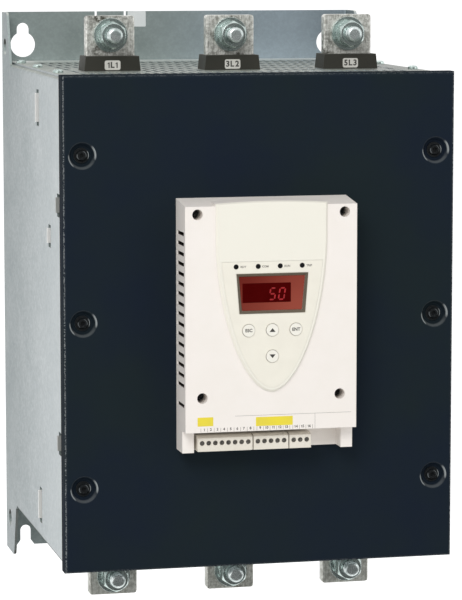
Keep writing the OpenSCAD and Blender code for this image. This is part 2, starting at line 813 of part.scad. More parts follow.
// Front cover: a shallow pan with its edge turned back, six pressed cups and the module's opening
module front_cover() {
    color("#1f262e") difference() {
        union() {
            difference() {
                pan(cover_half_w, cover_half_h, cover_face, cover_bend_r);
                pan(cover_half_w - cover_t, cover_half_h - cover_t, cover_face - cover_t,
                    cover_bend_r - cover_t);
            }
            for (spot = cover_screw_spots)
                cone(spot, box_d, cover_face - cover_t / 2, cup_floor_r + cover_t, cup_mouth_r + cover_t);
        }
        for (spot = cover_screw_spots) {
            cone(spot, box_d + cover_t, cover_face + 0.02, cup_floor_r, cup_mouth_r);
            rod(spot, box_d - cut, box_d + cover_t + cut, cover_screw_r + screw_gap);
        }
        slab([-neck_w / 2 - cover_gap, -cover_face - cut, neck_low - cover_gap],
            [neck_w / 2 + cover_gap, -cover_face + cover_t + cut, neck_high + cover_gap]);
    }
}

// Solid of a pan with rounded front edges, from the cover's back edge to a depth
module pan(half_width, half_height, front, r) {
    back = cover_face - cover_edge_d;
    intersection() {
        translate([0, -back, -half_height]) mirror([0, 1, 0]) linear_extrude(2 * half_height)
            rounded_end(2 * half_width, front - back, r);
        translate([-half_width, -back, 0]) rotate([90, 0, 90]) linear_extrude(2 * half_width)
            rotate(90) rounded_end(2 * half_height, front - back, r);
    }
}

// Button-head screws with a washer face and a hexagon socket
module cover_screws() {
    seat = box_d + cover_t;
    color("#15181b") for (spot = cover_screw_spots) difference() {
        union() {
            rod(spot, seat - cover_screw_len, seat, cover_screw_r);
            rod(spot, seat, seat + 1, cover_screw_r * 2.3);
            cone(spot, seat + 1, seat + 3.2, cover_screw_r * 1.8, cover_screw_r * 1.3);
        }
        hex_rod(spot, seat + 1.4, seat + 5, cover_screw_r * 1.4);
    }
}

// Power bar of one phase above the middle, from its thyristor block to its free end
module power_bar(phase) {
    x = phase * phase_pitch;
    w = bar_w / 2;
    difference() {
        intersection() {
            front_prism(rounded([[x - w, bar_inner_end, 0], [x + w, bar_inner_end, 0],
                [x + w, bar_end, bar_corner_r], [x - w, bar_end, bar_corner_r]]), bar_back, bar_front);
            linear_extrude(bar_end + cut) polygon([[x - w, -bar_back], [x + w, -bar_back],
                [x + w, -bar_front + bar_edge], [x + w - bar_edge, -bar_front],
                [x - w + bar_edge, -bar_front], [x - w, -bar_front + bar_edge]]);
        }
        rod([x, stud_z], bar_back - cut, bar_front + cut, stud_r + 2 * screw_gap);
        rod([x, thyristor_terminal], bar_back - cut, bar_front + cut, bar_screw_r + screw_gap);
    }
}

module line_bar(phase) {
    color("#b9b6ac") power_bar(phase);
}

module load_bar(phase) {
    color("#b9b6ac") mirror([0, 0, 1]) power_bar(phase);
}

// Insulating collar of one phase above the middle, with a spigot through the plate
module collar(phase) {
    x = phase * phase_pitch;
    front = bar_mid + collar_d / 2;
    difference() {
        union() {
            front_prism([[x - collar_w / 2, plate_top], [x + collar_w / 2, plate_top],
                [x + collar_end_w / 2, plate_top + collar_h], [x - collar_end_w / 2, plate_top + collar_h]],
                bar_mid - collar_d / 2, front);
            slab([x - spigot_w / 2, -bar_mid - spigot_d / 2, box_top - sheet_t],
                [x + spigot_w / 2, -bar_mid + spigot_d / 2, plate_top + 1]);
        }
        slab([x - bar_w / 2 - bar_gap, -bar_front - bar_gap, box_top - sheet_t - cut],
            [x + bar_w / 2 + bar_gap, -bar_back + bar_gap, plate_top + collar_h + cut]);
        front_prism(label_outline(x, plate_top + label_up, 0.1), front - label_t / 2, front + cut);
    }
}

// Outline of a label with round corners, grown by a margin
function label_outline(x, z, margin) =
    let (w = label_w / 2 + margin, h = label_h / 2 + margin)
    rounded([[x - w, z - h, 1.5], [x + w, z - h, 1.5], [x + w, z + h, 1.5], [x - w, z + h, 1.5]], 4);

module line_collar(phase) {
    color("#3c3a34") collar(phase);
}

module load_collar(phase) {
    color("#3c3a34") mirror([0, 0, 1]) collar(phase);
}

module terminal_labels() {
    front = bar_mid + collar_d / 2;
    color("#e4e2da") for (end = [0, 1], phase = [-1 : 1]) mirror([0, 0, end])
        front_prism(label_outline(phase * phase_pitch, plate_top + label_up, 0),
            front - label_t / 2, front + label_t / 2);
}

// Studs with a hexagon head behind the bar, a neck in front of the nut and a chamfered free end
module terminal_studs() {
    color("#b9c3c3") for (spot = stud_spots) {
        hex_rod(spot, bar_back - stud_head_h, bar_back, nut_flats);
        rod(spot, bar_back - 2, nut_front + 0.4, stud_r);
        rod(spot, nut_front - 1, free_start + 1, stud_r - 3 * stud_step);
        rod(spot, free_start, stud_end - stud_chamfer, free_r);
        cone(spot, stud_end - stud_chamfer, stud_end, free_r, free_r - stud_chamfer);
    }
}

// Hexagon nuts with both ends turned down to a cone
module terminal_nuts() {
    corner_r = nut_flats / cos(30) / 2;
    color("#b9c3c3") for (spot = stud_spots) difference() {
        intersection() {
            hex_rod(spot, nut_depth, nut_depth + nut_h, nut_flats);
            cone(spot, nut_depth - 2 * nut_h, nut_depth + nut_h, corner_r + 2 * nut_h, nut_flats / 2 - 0.3);
            cone(spot, nut_depth, nut_depth + 3 * nut_h, nut_flats / 2 - 0.3, corner_r + 2 * nut_h);
        }
        rod(spot, nut_depth - cut, nut_depth + nut_h + cut, stud_r + screw_gap);
    }
}

// Split spring washers
module spring_washers() {
    color("#9aa3a4") for (spot = stud_spots) difference() {
        rod(spot, bar_front + washer_t, nut_depth, spring_washer_r);
        rod(spot, bar_front, nut_depth + cut, stud_r + 2 * screw_gap);
        translate([spot[0], -bar_front - washer_t * 1.5, spot[1] + spring_washer_r]) rotate([0, 35, 0])
            cube([1.4, washer_t * 2, spring_washer_r], center = true);
    }
}

module flat_washers() {
    color("#b9c3c3") for (spot = stud_spots) difference() {
        rod(spot, bar_front, bar_front + washer_t, flat_washer_r);
        rod(spot, bar_front - cut, bar_front + washer_t + cut, stud_r + 2 * screw_gap);
    }
}

// Strap across the box behind the bars, with a tab in each side wall
module strap(z) {
    w = inner_w - drop_gap;
    slab([-w, -strap_depth, z - strap_w / 2], [w, -strap_depth + sheet_t, z + strap_w / 2]);
    side_tabs(strap_depth, sheet_t, z, strap_tab_len);
}

// Pair of tabs that reach through the side walls and stand a little out of them
module side_tabs(front, thickness, z, length) {
    for (side = [0, 1]) mirror([side, 0, 0])
        slab([inner_w - drop_gap - 3, -front, z - length / 2],
            [half_w + tab_out, -front + thickness, z + length / 2]);
}

module upper_strap() {
    color("#a7adaf") strap(strap_z);
}

module lower_strap() {
    color("#a7adaf") strap(-strap_z);
}

module bar_insulators() {
    color("#8a3b2c") for (phase = [-1 : 1], end = [-1, 1])
        rod([phase * phase_pitch, end * strap_z], strap_depth, bar_back, insulator_r);
}

// Extruded heat sink: a thick base with fins that reach back to the wall plate
module heat_sink() {
    w = inner_w - drop_gap;
    fin_pitch = (2 * w - 2 * fin_in - fin_t) / (fin_count - 1);
    color("#c3c6c8") translate([0, 0, sink_low]) linear_extrude(sink_high - sink_low) {
        translate([-w, -sink_front]) square([2 * w, sink_base_t]);
        for (i = [0 : fin_count - 1]) translate([-w + fin_in + i * fin_pitch, -sink_fin_root - cut])
            square([fin_t, sink_fin_root + cut - sheet_t - drop_gap]);
    }
}

// Thyristor block: base plate, moulded body with ribs, and two terminal pillars
module thyristor(phase) {
    x = phase * phase_pitch;
    base_front = sink_front + 6;
    body_front = bar_back - 16;
    color("#4a4c50") difference() {
        union() {
            slab([x - thyristor_w / 2, -base_front, -thyristor_h / 2],
                [x + thyristor_w / 2, -sink_front, thyristor_h / 2]);
            slab([x - thyristor_w / 2 + 2, -body_front, -thyristor_h / 2 + 4],
                [x + thyristor_w / 2 - 2, -base_front, thyristor_h / 2 - 4]);
            for (end = [-1, 1])
                slab([x - 16, -bar_back, end * thyristor_terminal - 13],
                    [x + 16, -body_front, end * thyristor_terminal + 13]);
            for (z = [-6, 0, 6])
                slab([x - thyristor_w / 2 + 4, -body_front - 6, z - 1],
                    [x + thyristor_w / 2 - 4, -body_front, z + 1]);
        }
        for (end = [-1, 1])
            rod([x, end * thyristor_terminal], bar_back - bar_screw_len - 2, bar_back + cut,
                bar_screw_r + screw_gap);
    }
}

// Hexagon screws that hold the bars to the thyristor blocks
module bar_screws() {
    color("#b9c3c3") for (phase = [-1 : 1], end = [-1, 1]) {
        spot = [phase * phase_pitch, end * thyristor_terminal];
        hex_rod(spot, bar_front, bar_front + bar_screw_r * 1.4, bar_screw_r * 3.2);
        rod(spot, bar_back - bar_screw_len, bar_front, bar_screw_r);
    }
}

// Current transformer: a moulded ring round one load bar
module current_transformer(phase) {
    x = phase * phase_pitch;
    w = transformer_w / 2;
    d = transformer_d / 2;
    color("#24303a") translate([0, 0, -transformer_z - transformer_h / 2])
        linear_extrude(transformer_h) difference() {
        polygon(rounded([[x - w, -bar_mid - d, 8], [x + w, -bar_mid - d, 8],
            [x + w, -bar_mid + d, 8], [x - w, -bar_mid + d, 8]]));
        translate([x, -bar_mid]) square([bar_w + 2 * bar_gap, bar_t + 2 * bar_gap], center = true);
    }
}

// Axial fan frame with its motor mount on struts and the shaft it carries
module fan_frame(side) {
    top = fan_low + fan_h;
    half = fan_w / 2;
    color("#26282b") translate([side * fan_x, -fan_depth, 0]) {
        difference() {
            translate([0, 0, fan_low]) linear_extrude(fan_h) difference() {
                polygon(rounded([[-half, -half, 6], [half, -half, 6], [half, half, 6], [-half, half, 6]], 4));
                circle(fan_bore_r);
            }
            for (dx = [-1, 1], dy = [-1, 1])
                translate([dx * fan_screw_pitch / 2, dy * fan_screw_pitch / 2, fan_low - cut])
                    cylinder(r = plate_screw_r + screw_gap, h = fan_h + 2 * cut);
        }
        translate([0, 0, top - fan_hub_t]) cylinder(r = fan_hub_r, h = fan_hub_t);
        for (turn = [45 : 90 : 315]) rotate(turn)
            slab([fan_hub_r - 2, -2.5, top - fan_hub_t], [fan_bore_r + 1, 2.5, top]);
        translate([0, 0, rotor_low + 2]) cylinder(r = fan_shaft_r, h = top - fan_hub_t - rotor_low);
    }
}

// Fan rotor: a hub with sloping blades, bored for the shaft
module fan_rotor(side) {
    height = rotor_high - rotor_low;
    color("#33363a") translate([side * fan_x, -fan_depth, rotor_low]) difference() {
        union() {
            cylinder(r = fan_hub_r - 1, h = height);
            intersection() {
                for (i = [0 : blade_count - 1]) rotate(i * 360 / blade_count)
                    translate([(fan_hub_r + blade_r) / 2, 0, height / 2]) rotate([blade_tilt, 0, 0])
                        cube([blade_r - fan_hub_r + 12, 2, height * 2], center = true);
                difference() {
                    translate([0, 0, 2]) cylinder(r = blade_r, h = height - 4);
                    translate([0, 0, -cut]) cylinder(r = fan_hub_r - 3, h = height + 2 * cut);
                }
            }
        }
        translate([0, 0, -cut]) cylinder(r = fan_shaft_r + shaft_gap, h = height + 2 * cut);
    }
}

module fan_screws() {
    color("#c4c9ca") for (spot = fan_screw_spots) translate([spot[0], -spot[1], -plate_top]) mirror([0, 0, 1])
        pan_screw(plate_screw_r, plate_t + fan_screw_len);
}

// Tray across the box for the gate board
module board_tray() {
    w = inner_w - drop_gap;
    color("#a7adaf") {
        slab([-w, -tray_depth, tray_up - tray_h / 2], [w, -tray_depth + bracket_t, tray_up + tray_h / 2]);
        side_tabs(tray_depth, bracket_t, tray_up, tab_len);
    }
}

module board_standoffs() {
    color("#c9b266") for (side = [-1, 1], end = [-1, 1])
        rod([side * (gate_board_w / 2 - 6), tray_up + end * (gate_board_h / 2 - 6)],
            tray_depth, tray_depth + standoff_len, 3.5);
}

// Gate board with its pulse transformers and plugs
module gate_board() {
    back = tray_depth + standoff_len;
    front = back + board_t;
    w = gate_board_w / 2;
    h = gate_board_h / 2;
    color("#2e6b45") {
        slab([-w, -front, tray_up - h], [w, -back, tray_up + h]);
        for (i = [-2.5 : 2.5]) slab([(i - 0.3) * pulse_pitch, -front - pulse_h, tray_up - h * 0.3],
            [(i + 0.3) * pulse_pitch, -front, tray_up + h * 0.36]);
        for (side = [-1, 1]) slab([side * w * 0.86 - w * 0.07, -front - plug_h, tray_up - h * 0.6],
            [side * w * 0.86 + w * 0.07, -front, tray_up + h * 0.24]);
    }
}

// Bracket across the box that carries the control module
module module_bracket() {
    w = inner_w - drop_gap;
    color("#a7adaf") difference() {
        union() {
            slab([-w, -bracket_depth, -bracket_tab_down - tab_len / 2 - 8],
                [w, -bracket_depth + bracket_t, bracket_tab_up + tab_len / 2 + 4]);
            side_tabs(bracket_depth, bracket_t, bracket_tab_up, tab_len);
            side_tabs(bracket_depth, bracket_t, -bracket_tab_down, tab_len);
        }
        for (side = [-1, 1]) slab([side * (w + neck_w / 2) / 2 - 22, -bracket_depth - cut, -60],
            [side * (w + neck_w / 2) / 2 + 22, -bracket_depth + bracket_t + cut, 60]);
    }
}

// Side profile of the module between two depths, drawn in by a wall
function module_profile(back, front, low, wall) = [
    [-back, low + wall], [-back, top_at(back) - wall], [-front, top_at(front) - wall], [-front, low + wall]
];

// Base of the control module: a neck through the cover, a rim on it and the terminal ledge
module module_base() {
    w = module_w / 2;
    color("#d9d4ca") difference() {
        union() {
            difference() {
                union() {
                    slab([-neck_w / 2, -cover_face - cut, neck_low], [neck_w / 2, -bracket_depth, neck_high]);
                    side_prism(module_profile(cover_face, shell_back, module_bottom, 0), -w, w);
                    side_prism([[-cover_face, module_bottom], [-cover_face, shell_bottom],
                        [-foot_front, shell_bottom], [-foot_front, module_bottom]], -w, w);
                }
                slab([-neck_w / 2 + module_wall, -cover_face - cut, shell_bottom + module_wall],
                    [neck_w / 2 - module_wall, -bracket_depth - module_wall, neck_high - module_wall]);
                side_prism(
                    module_profile(cover_face + module_wall, shell_back + cut, shell_bottom, module_wall),
                    -w + module_wall, w - module_wall);
                slab([-w + foot_w, -foot_front - cut, module_bottom - cut],
                    [w - foot_w, -ledge_floor, shell_bottom - 1]);
            }
            for (spot = module_screw_spots) rod(spot, bracket_depth + 1, shell_back, module_screw_r + 2.6);
            for (spot = board_post_spots) rod(spot, bracket_depth + 1, control_board_back, 3.5);
        }
        for (spot = module_screw_spots)
            rod(spot, shell_back - module_screw_len, shell_back + cut, module_screw_r + screw_gap);
        for (side = [0, 1]) mirror([side, 0, 0]) side_vents();
    }
}

// Front shell of the control module with the raised tongue, its openings and the side vents
module module_shell() {
    w = module_w / 2;
    color("#f3eee6") difference() {
        union() {
            difference() {
                union() {
                    side_prism(module_profile(shell_back, module_face, shell_bottom, 0), -w, w);
                    front_prism(tongue_outline(0), shell_back, module_face + 0.3);
                    tongue_relief();
                }
                side_prism(module_profile(shell_back - cut, shell_inside, shell_bottom, module_wall),
                    -w + module_wall, w - module_wall);
            }
            for (spot = module_screw_spots) rod(spot, shell_back, shell_inside + cut, screw_well_r + 1.6);
        }
        for (spot = module_screw_spots) {
            rod(spot, screw_seat, tongue_face + cut, screw_well_r);
            rod(spot, shell_back - cut, screw_seat + cut, module_screw_r + screw_gap);
        }
        front_prism(film_outline(film_margin - 0.1), tongue_face - film_t, tongue_face + cut);
        for (spot = key_spots) rod(spot, shell_inside - cut, tongue_face + cut, key_r + key_gap);
        for (spot = lamp_spots) rod(spot, shell_inside - cut, tongue_face + cut, lamp_r + key_gap / 2);
        front_prism(window_outline(window_bevel), shell_inside - cut, tongue_face + cut);
        window_bevel_cut();
        for (side = [0, 1]) mirror([side, 0, 0]) side_vents();
    }
}

// Raised part of the tongue, with sloping sides
module tongue_relief() {
    hull() {
        front_prism(tongue_outline(0), module_face, module_face + 0.3);
        front_prism(tongue_outline(tongue_slope), tongue_face - 0.1, tongue_face);
    }
}

// Sloping sides of the display opening
module window_bevel_cut() {
    hull() {
        front_prism(window_outline(0), tongue_face, tongue_face + 0.1);
        front_prism(window_outline(window_bevel), tongue_face - bevel_d, tongue_face - bevel_d + 0.1);
    }
}

// Row of vents in the right side, each a slot from the shell into the base's rim; one place stays closed
module side_vents() {
    w = module_w / 2;
    front = module_face - side_vent_in;
    first = shell_top - 21;
    for (i = [0 : side_vent_count - 1]) if (i != side_vent_count - 2) {
        z = first - i * side_vent_pitch;
        slab([w - module_wall - cut, -front, z - side_vent_h / 2],
            [w + cut, -front + side_vent_len, z + side_vent_h / 2]);
    }
}

// Printed film on the tongue, cut out for the keys, the lamps and the window
module keypad_film() {
    color("#efe9e1") difference() {
        front_prism(film_outline(film_margin), tongue_face - film_t, tongue_face);
        for (spot = key_spots) rod(spot, tongue_face - film_t - cut, tongue_face + cut, key_r + key_gap);
        for (spot = lamp_spots)
            rod(spot, tongue_face - film_t - cut, tongue_face + cut, lamp_r + key_gap / 2);
        front_prism(window_outline(-0.3), tongue_face - film_t - cut, tongue_face + cut);
    }
}

// Tinted window with a flange that seats behind the shell's wall
module display_window() {
    color("#5a1212") {
        front_prism(window_outline(window_bevel + key_gap / 2), shell_inside - 0.5, tongue_face - bevel_d);
        front_prism(window_outline(window_bevel - 2), shell_inside - 1.2, shell_inside);
    }
}

// Four-digit display that stands on the control board behind the window
module display_block() {
    color("#2b0808")
        slab([-24, -shell_inside + 2.5, window_up - 9], [16, -control_board_front, window_up + 9]);
}

module lamp_lenses() {
    color("#191a1c") for (spot = lamp_spots) rod(spot, control_board_front + 2.2, tongue_face, lamp_r);
}

// Control board with its key switches and lamp chips
module control_board() {
    w = control_board_w / 2;
    color("#2e6b45") {
        slab([-w, -control_board_front, control_board_low], [w, -control_board_back, control_board_high]);
        for (spot = key_spots) slab([spot[0] - 3, -switch_front, spot[1] - 3],
            [spot[0] + 3, -control_board_front, spot[1] + 3]);
        for (spot = lamp_spots) rod(spot, control_board_front - 0.5, control_board_front + 2, lamp_r);
    }
}

// Key with a flange behind the shell's wall and a stem towards its switch
module key_cap(spot) {
    color("#f4f0e8") {
        rod(spot, key_flange_front - key_flange_t, tongue_face + key_proud, key_r);
        rod(spot, key_flange_front - key_flange_t, key_flange_front, key_r + 1.3);
        rod(spot, switch_front + key_travel + 0.1, key_flange_front, key_r * 0.45);
    }
}

// Plug-in terminal block with a screw well and a wire entry for each pole
module terminal_block(i) {
    left = block_starts[i];
    right = left + block_poles[i] * pole_pitch + block_extra;
    high = block_low + block_h;
    color("#e6e1d8") difference() {
        side_prism([[-ledge_floor, block_low], [-ledge_floor, high], [-block_front + block_slope, high],
            [-block_front, high - 1.5], [-block_front, block_low]], left, right);
        for (pole = [0 : block_poles[i] - 1]) {
            x = left + block_extra / 2 + (pole + 0.5) * pole_pitch;
            rod([x, block_low + pole_screw_up], block_front - 5, block_front + cut, pole_screw_r + screw_gap);
            slab([x - 1.6, -block_front + 3, block_low - cut], [x + 1.6, -block_front + 6.5, block_low + 3]);
        }
    }
}

// Slotted screws of the terminal blocks
module block_screws() {
    z = block_low + pole_screw_up;
    color("#9ba0a0") for (i = [0 : len(block_poles) - 1], pole = [0 : block_poles[i] - 1]) {
        x = block_starts[i] + block_extra / 2 + (pole + 0.5) * pole_pitch;
        difference() {
            rod([x, z], block_front - 5, block_front - 0.6, pole_screw_r);
            translate([x, -block_front + 0.6, z]) rotate([0, 25 + 40 * (pole % 3), 0])
                cube([0.6, 2, 4 * pole_screw_r], center = true);
        }
    }
}

// Screws at the bottom of the shell's four wells
module module_screws() {
    color("#3a3d40") for (spot = module_screw_spots) difference() {
        union() {
            rod(spot, screw_seat - module_screw_len, screw_seat, module_screw_r);
            rod(spot, screw_seat, screw_seat + 2.2, screw_well_r - 0.6);
        }
        for (turn = [0, 90]) translate([spot[0], -screw_seat - 2.2, spot[1]]) rotate([0, turn, 0])
            cube([0.9, 2.4, 4], center = true);
    }
}

chassis();
top_plate();
bottom_plate();
plate_screws();
front_cover();
cover_screws();
line_bar(-1);  // line_bar_1
line_bar(0);  // line_bar_2
line_bar(1);  // line_bar_3
load_bar(-1);  // load_bar_1
load_bar(0);  // load_bar_2
load_bar(1);  // load_bar_3
line_collar(-1);  // line_collar_1
line_collar(0);  // line_collar_2
line_collar(1);  // line_collar_3
load_collar(-1);  // load_collar_1
load_collar(0);  // load_collar_2
load_collar(1);  // load_collar_3
terminal_labels();
terminal_studs();
terminal_nuts();
spring_washers();
flat_washers();
upper_strap();
lower_strap();
bar_insulators();
heat_sink();
thyristor(-1);  // thyristor_1
thyristor(0);  // thyristor_2
thyristor(1);  // thyristor_3
bar_screws();
current_transformer(-1);  // current_transformer_1
current_transformer(0);  // current_transformer_2
current_transformer(1);  // current_transformer_3
fan_frame(-1);  // fan_frame_1
fan_frame(1);  // fan_frame_2
fan_rotor(-1);  // fan_rotor_1
fan_rotor(1);  // fan_rotor_2
fan_screws();
board_tray();
board_standoffs();
gate_board();
module_bracket();
module_base();
module_shell();
keypad_film();
display_window();
display_block();
lamp_lenses();
control_board();
key_cap(key_spots[0]);  // key_esc
key_cap(key_spots[1]);  // key_up_arrow
key_cap(key_spots[2]);  // key_enter
key_cap(key_spots[3]);  // key_down_arrow
terminal_block(0);  // terminal_block_1
terminal_block(1);  // terminal_block_2
terminal_block(2);  // terminal_block_3
block_screws();
module_screws();
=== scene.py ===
"""Looks of a wall-mounted soft starter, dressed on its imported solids.

The solids carry the construction. This script gives each of them a finish that is worked out from
its own coordinates, and adds what is printed, threaded or glowing as new meshes. Lengths are metres
in the frame of the solids: +Z up, the front towards -Y, the wall at Y = 0.
"""

import logging
import math
from dataclasses import dataclass
from enum import Enum
from typing import Any, Callable, Sequence

import bmesh
import bpy
import numpy as np
from mathutils import Matrix, Vector


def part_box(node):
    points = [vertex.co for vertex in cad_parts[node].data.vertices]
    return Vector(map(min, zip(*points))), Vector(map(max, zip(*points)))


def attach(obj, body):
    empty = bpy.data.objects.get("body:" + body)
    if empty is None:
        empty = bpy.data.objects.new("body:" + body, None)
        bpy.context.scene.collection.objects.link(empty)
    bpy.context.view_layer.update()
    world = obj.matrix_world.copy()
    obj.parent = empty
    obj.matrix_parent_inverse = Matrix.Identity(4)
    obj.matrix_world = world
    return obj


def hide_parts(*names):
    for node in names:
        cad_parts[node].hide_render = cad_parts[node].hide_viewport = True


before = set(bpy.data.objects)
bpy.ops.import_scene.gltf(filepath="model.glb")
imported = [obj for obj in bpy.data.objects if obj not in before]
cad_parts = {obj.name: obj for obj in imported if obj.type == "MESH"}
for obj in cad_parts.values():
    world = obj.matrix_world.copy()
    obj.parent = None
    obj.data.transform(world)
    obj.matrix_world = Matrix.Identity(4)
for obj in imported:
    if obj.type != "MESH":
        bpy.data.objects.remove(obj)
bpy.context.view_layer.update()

ENCLOSURE = "enclosure"
PHASES = (1, 2, 3)

# Lengths: the module shell's face, how print lies on a face, and how close points are one point
MM = 0.001
SHELL_FACE = 337.5 * MM
INK_HEIGHT = 0.06 * MM
PRINT_SINK = 0.02 * MM
LINE_RISE = 0.03 * MM
SAME_POINT = 0.0001 * MM

# Letters: a capital's height over the font's size, and the gap between letters over the height
CAP_SHARE = 0.69
LETTER_GAP = 0.2

# Ranges that ramps stretch: most of a noise, its middle, and a normal's part from slanting to square on
MOST = (0.3, 0.7)
MIDDLE = (0.32, 0.68)
SQUARE_ON = (0.4, 0.9)

Colour = tuple[int, int, int]
Span = tuple[float, float]
Triple = tuple[float, float, float]
Socket = bpy.types.NodeSocket
Node = bpy.types.Node
log = logging.getLogger("soft_starter")


def linear(colour: Colour) -> tuple[float, float, float, float]:
    """Turns a display colour into scene light.

    Args:
        colour: Red, green and blue from 0 to 255, as seen on a screen.

    Returns:
        The linear colour with an alpha of 1.
    """
    share = np.array(colour) / 255.0
    light = np.where(share <= 0.04045, share / 12.92, ((share + 0.055) / 1.055) ** 2.4)
    return (*light.tolist(), 1.0)


def grey(level: float) -> tuple[float, float, float, float]:
    """Returns a grey of scene light with an alpha of 1."""
    return (level, level, level, 1.0)


# Graphs of shader nodes


def emptied(owner: bpy.types.ID) -> bpy.types.NodeTree:
    """Clears the nodes of a material or a world.

    Args:
        owner: The material or the world.

    Returns:
        Its node tree, with nothing in it.
    """
    owner.use_nodes = True
    owner.node_tree.nodes.clear()
    return owner.node_tree


class Graph:
    """Adds nodes to one tree and links them."""

    def __init__(self, tree: bpy.types.NodeTree) -> None:
        """Keeps the tree that the nodes go into."""
        self.tree = tree

    def node(self, kind: str, inputs: dict[str | int, Any] | None = None, **settings: Any) -> Node:
        """Adds one node.

        Args:
            kind: The node's type, without its ShaderNode prefix.
            inputs: Values, or sockets to link, by the input's name or number.
            settings: The node's own properties.

        Returns:
            The new node.
        """
        made = self.tree.nodes.new("ShaderNode" + kind)
        for name, value in settings.items():
            setattr(made, name, value)
        for key, value in (inputs or {}).items():
            self.feed(made.inputs[key], value)
        return made

    def feed(self, socket: Socket, value: Any) -> None:
        """Links a socket to an input, or sets the input to a value.

        Args:
            socket: The input.
            value: The socket or the value that it takes.
        """
        if isinstance(value, Socket):
            self.tree.links.new(value, socket)
        else:
            socket.default_value = value

    def math(self, operation: str, first: Any, second: Any = 0.0) -> Socket:
        """Returns the sum, product or the like of two values."""
        return self.node("Math", {0: first, 1: second}, operation=operation).outputs[0]

    def weighted(self, *terms: tuple[Any, float], base: Any = 0.0) -> Socket:
        """Adds values up, each times its weight.

        Args:
            terms: Pairs of a value and its weight.
            base: What the sum starts from.

        Returns:
            The sum.
        """
        total = base
        for value, weight in terms:
            total = self.math("ADD", total, self.math("MULTIPLY", value, weight))
        return total

    def ramp(self, value: Any, low: Any, high: Any, start: float = 0.0, end: float = 1.0) -> Socket:
        """Returns what runs smoothly from start to end as a value goes from low to high."""
        inputs = {"Value": value, "From Min": low, "From Max": high, "To Min": start, "To Max": end}
        return self.node("MapRange", inputs, interpolation_type="SMOOTHSTEP").outputs[0]

    def mix(self, factor: Any, first: Any, second: Any) -> Socket:
        """Returns two colours mixed by a factor."""
        return self.node("Mix", {0: factor, 6: first, 7: second}, data_type="RGBA").outputs[2]

    def noise(self, place: Any, scale: Any, detail: float = 2.0, rough: float = 0.5) -> Socket:
        """Returns the value of a cloud of noise in space."""
        inputs = {"Vector": place, "Scale": scale, "Detail": detail, "Roughness": rough}
        return self.node("TexNoise", inputs).outputs[0]

    def axis(self, vector: Any, name: str) -> Socket:
        """Returns the X, Y or Z of a vector."""
        return self.node("SeparateXYZ", {0: vector}).outputs[name]

    def upright(self, across: Any, up: Any) -> Socket:
        """Returns the vector with the given X and Z and no Y."""
        return self.node("CombineXYZ", {0: across, 2: up}).outputs[0]

    def length(self, vector: Socket) -> Socket:
        """Returns the length of a vector."""
        return self.node("VectorMath", {0: vector}, operation="LENGTH").outputs["Value"]

    def dot(self, first: Socket, second: Socket) -> Socket:
        """Returns the dot product of two vectors."""
        return self.node("VectorMath", {0: first, 1: second}, operation="DOT_PRODUCT").outputs["Value"]


class Effect(Enum):
    """Effects that several finishes share, each one node group."""

    GRAIN = "fine_grain"
    SPANGLE = "zinc_spangle"
    BRUSHED = "brushed_lines"
    SMUDGE = "smudge"
    # edge mask on which most finishes paint a highlight
    EDGE = "painted_edge_mask"
    # arcs of painted highlight round the cover's cups
    ARC = "painted_cup_highlight"


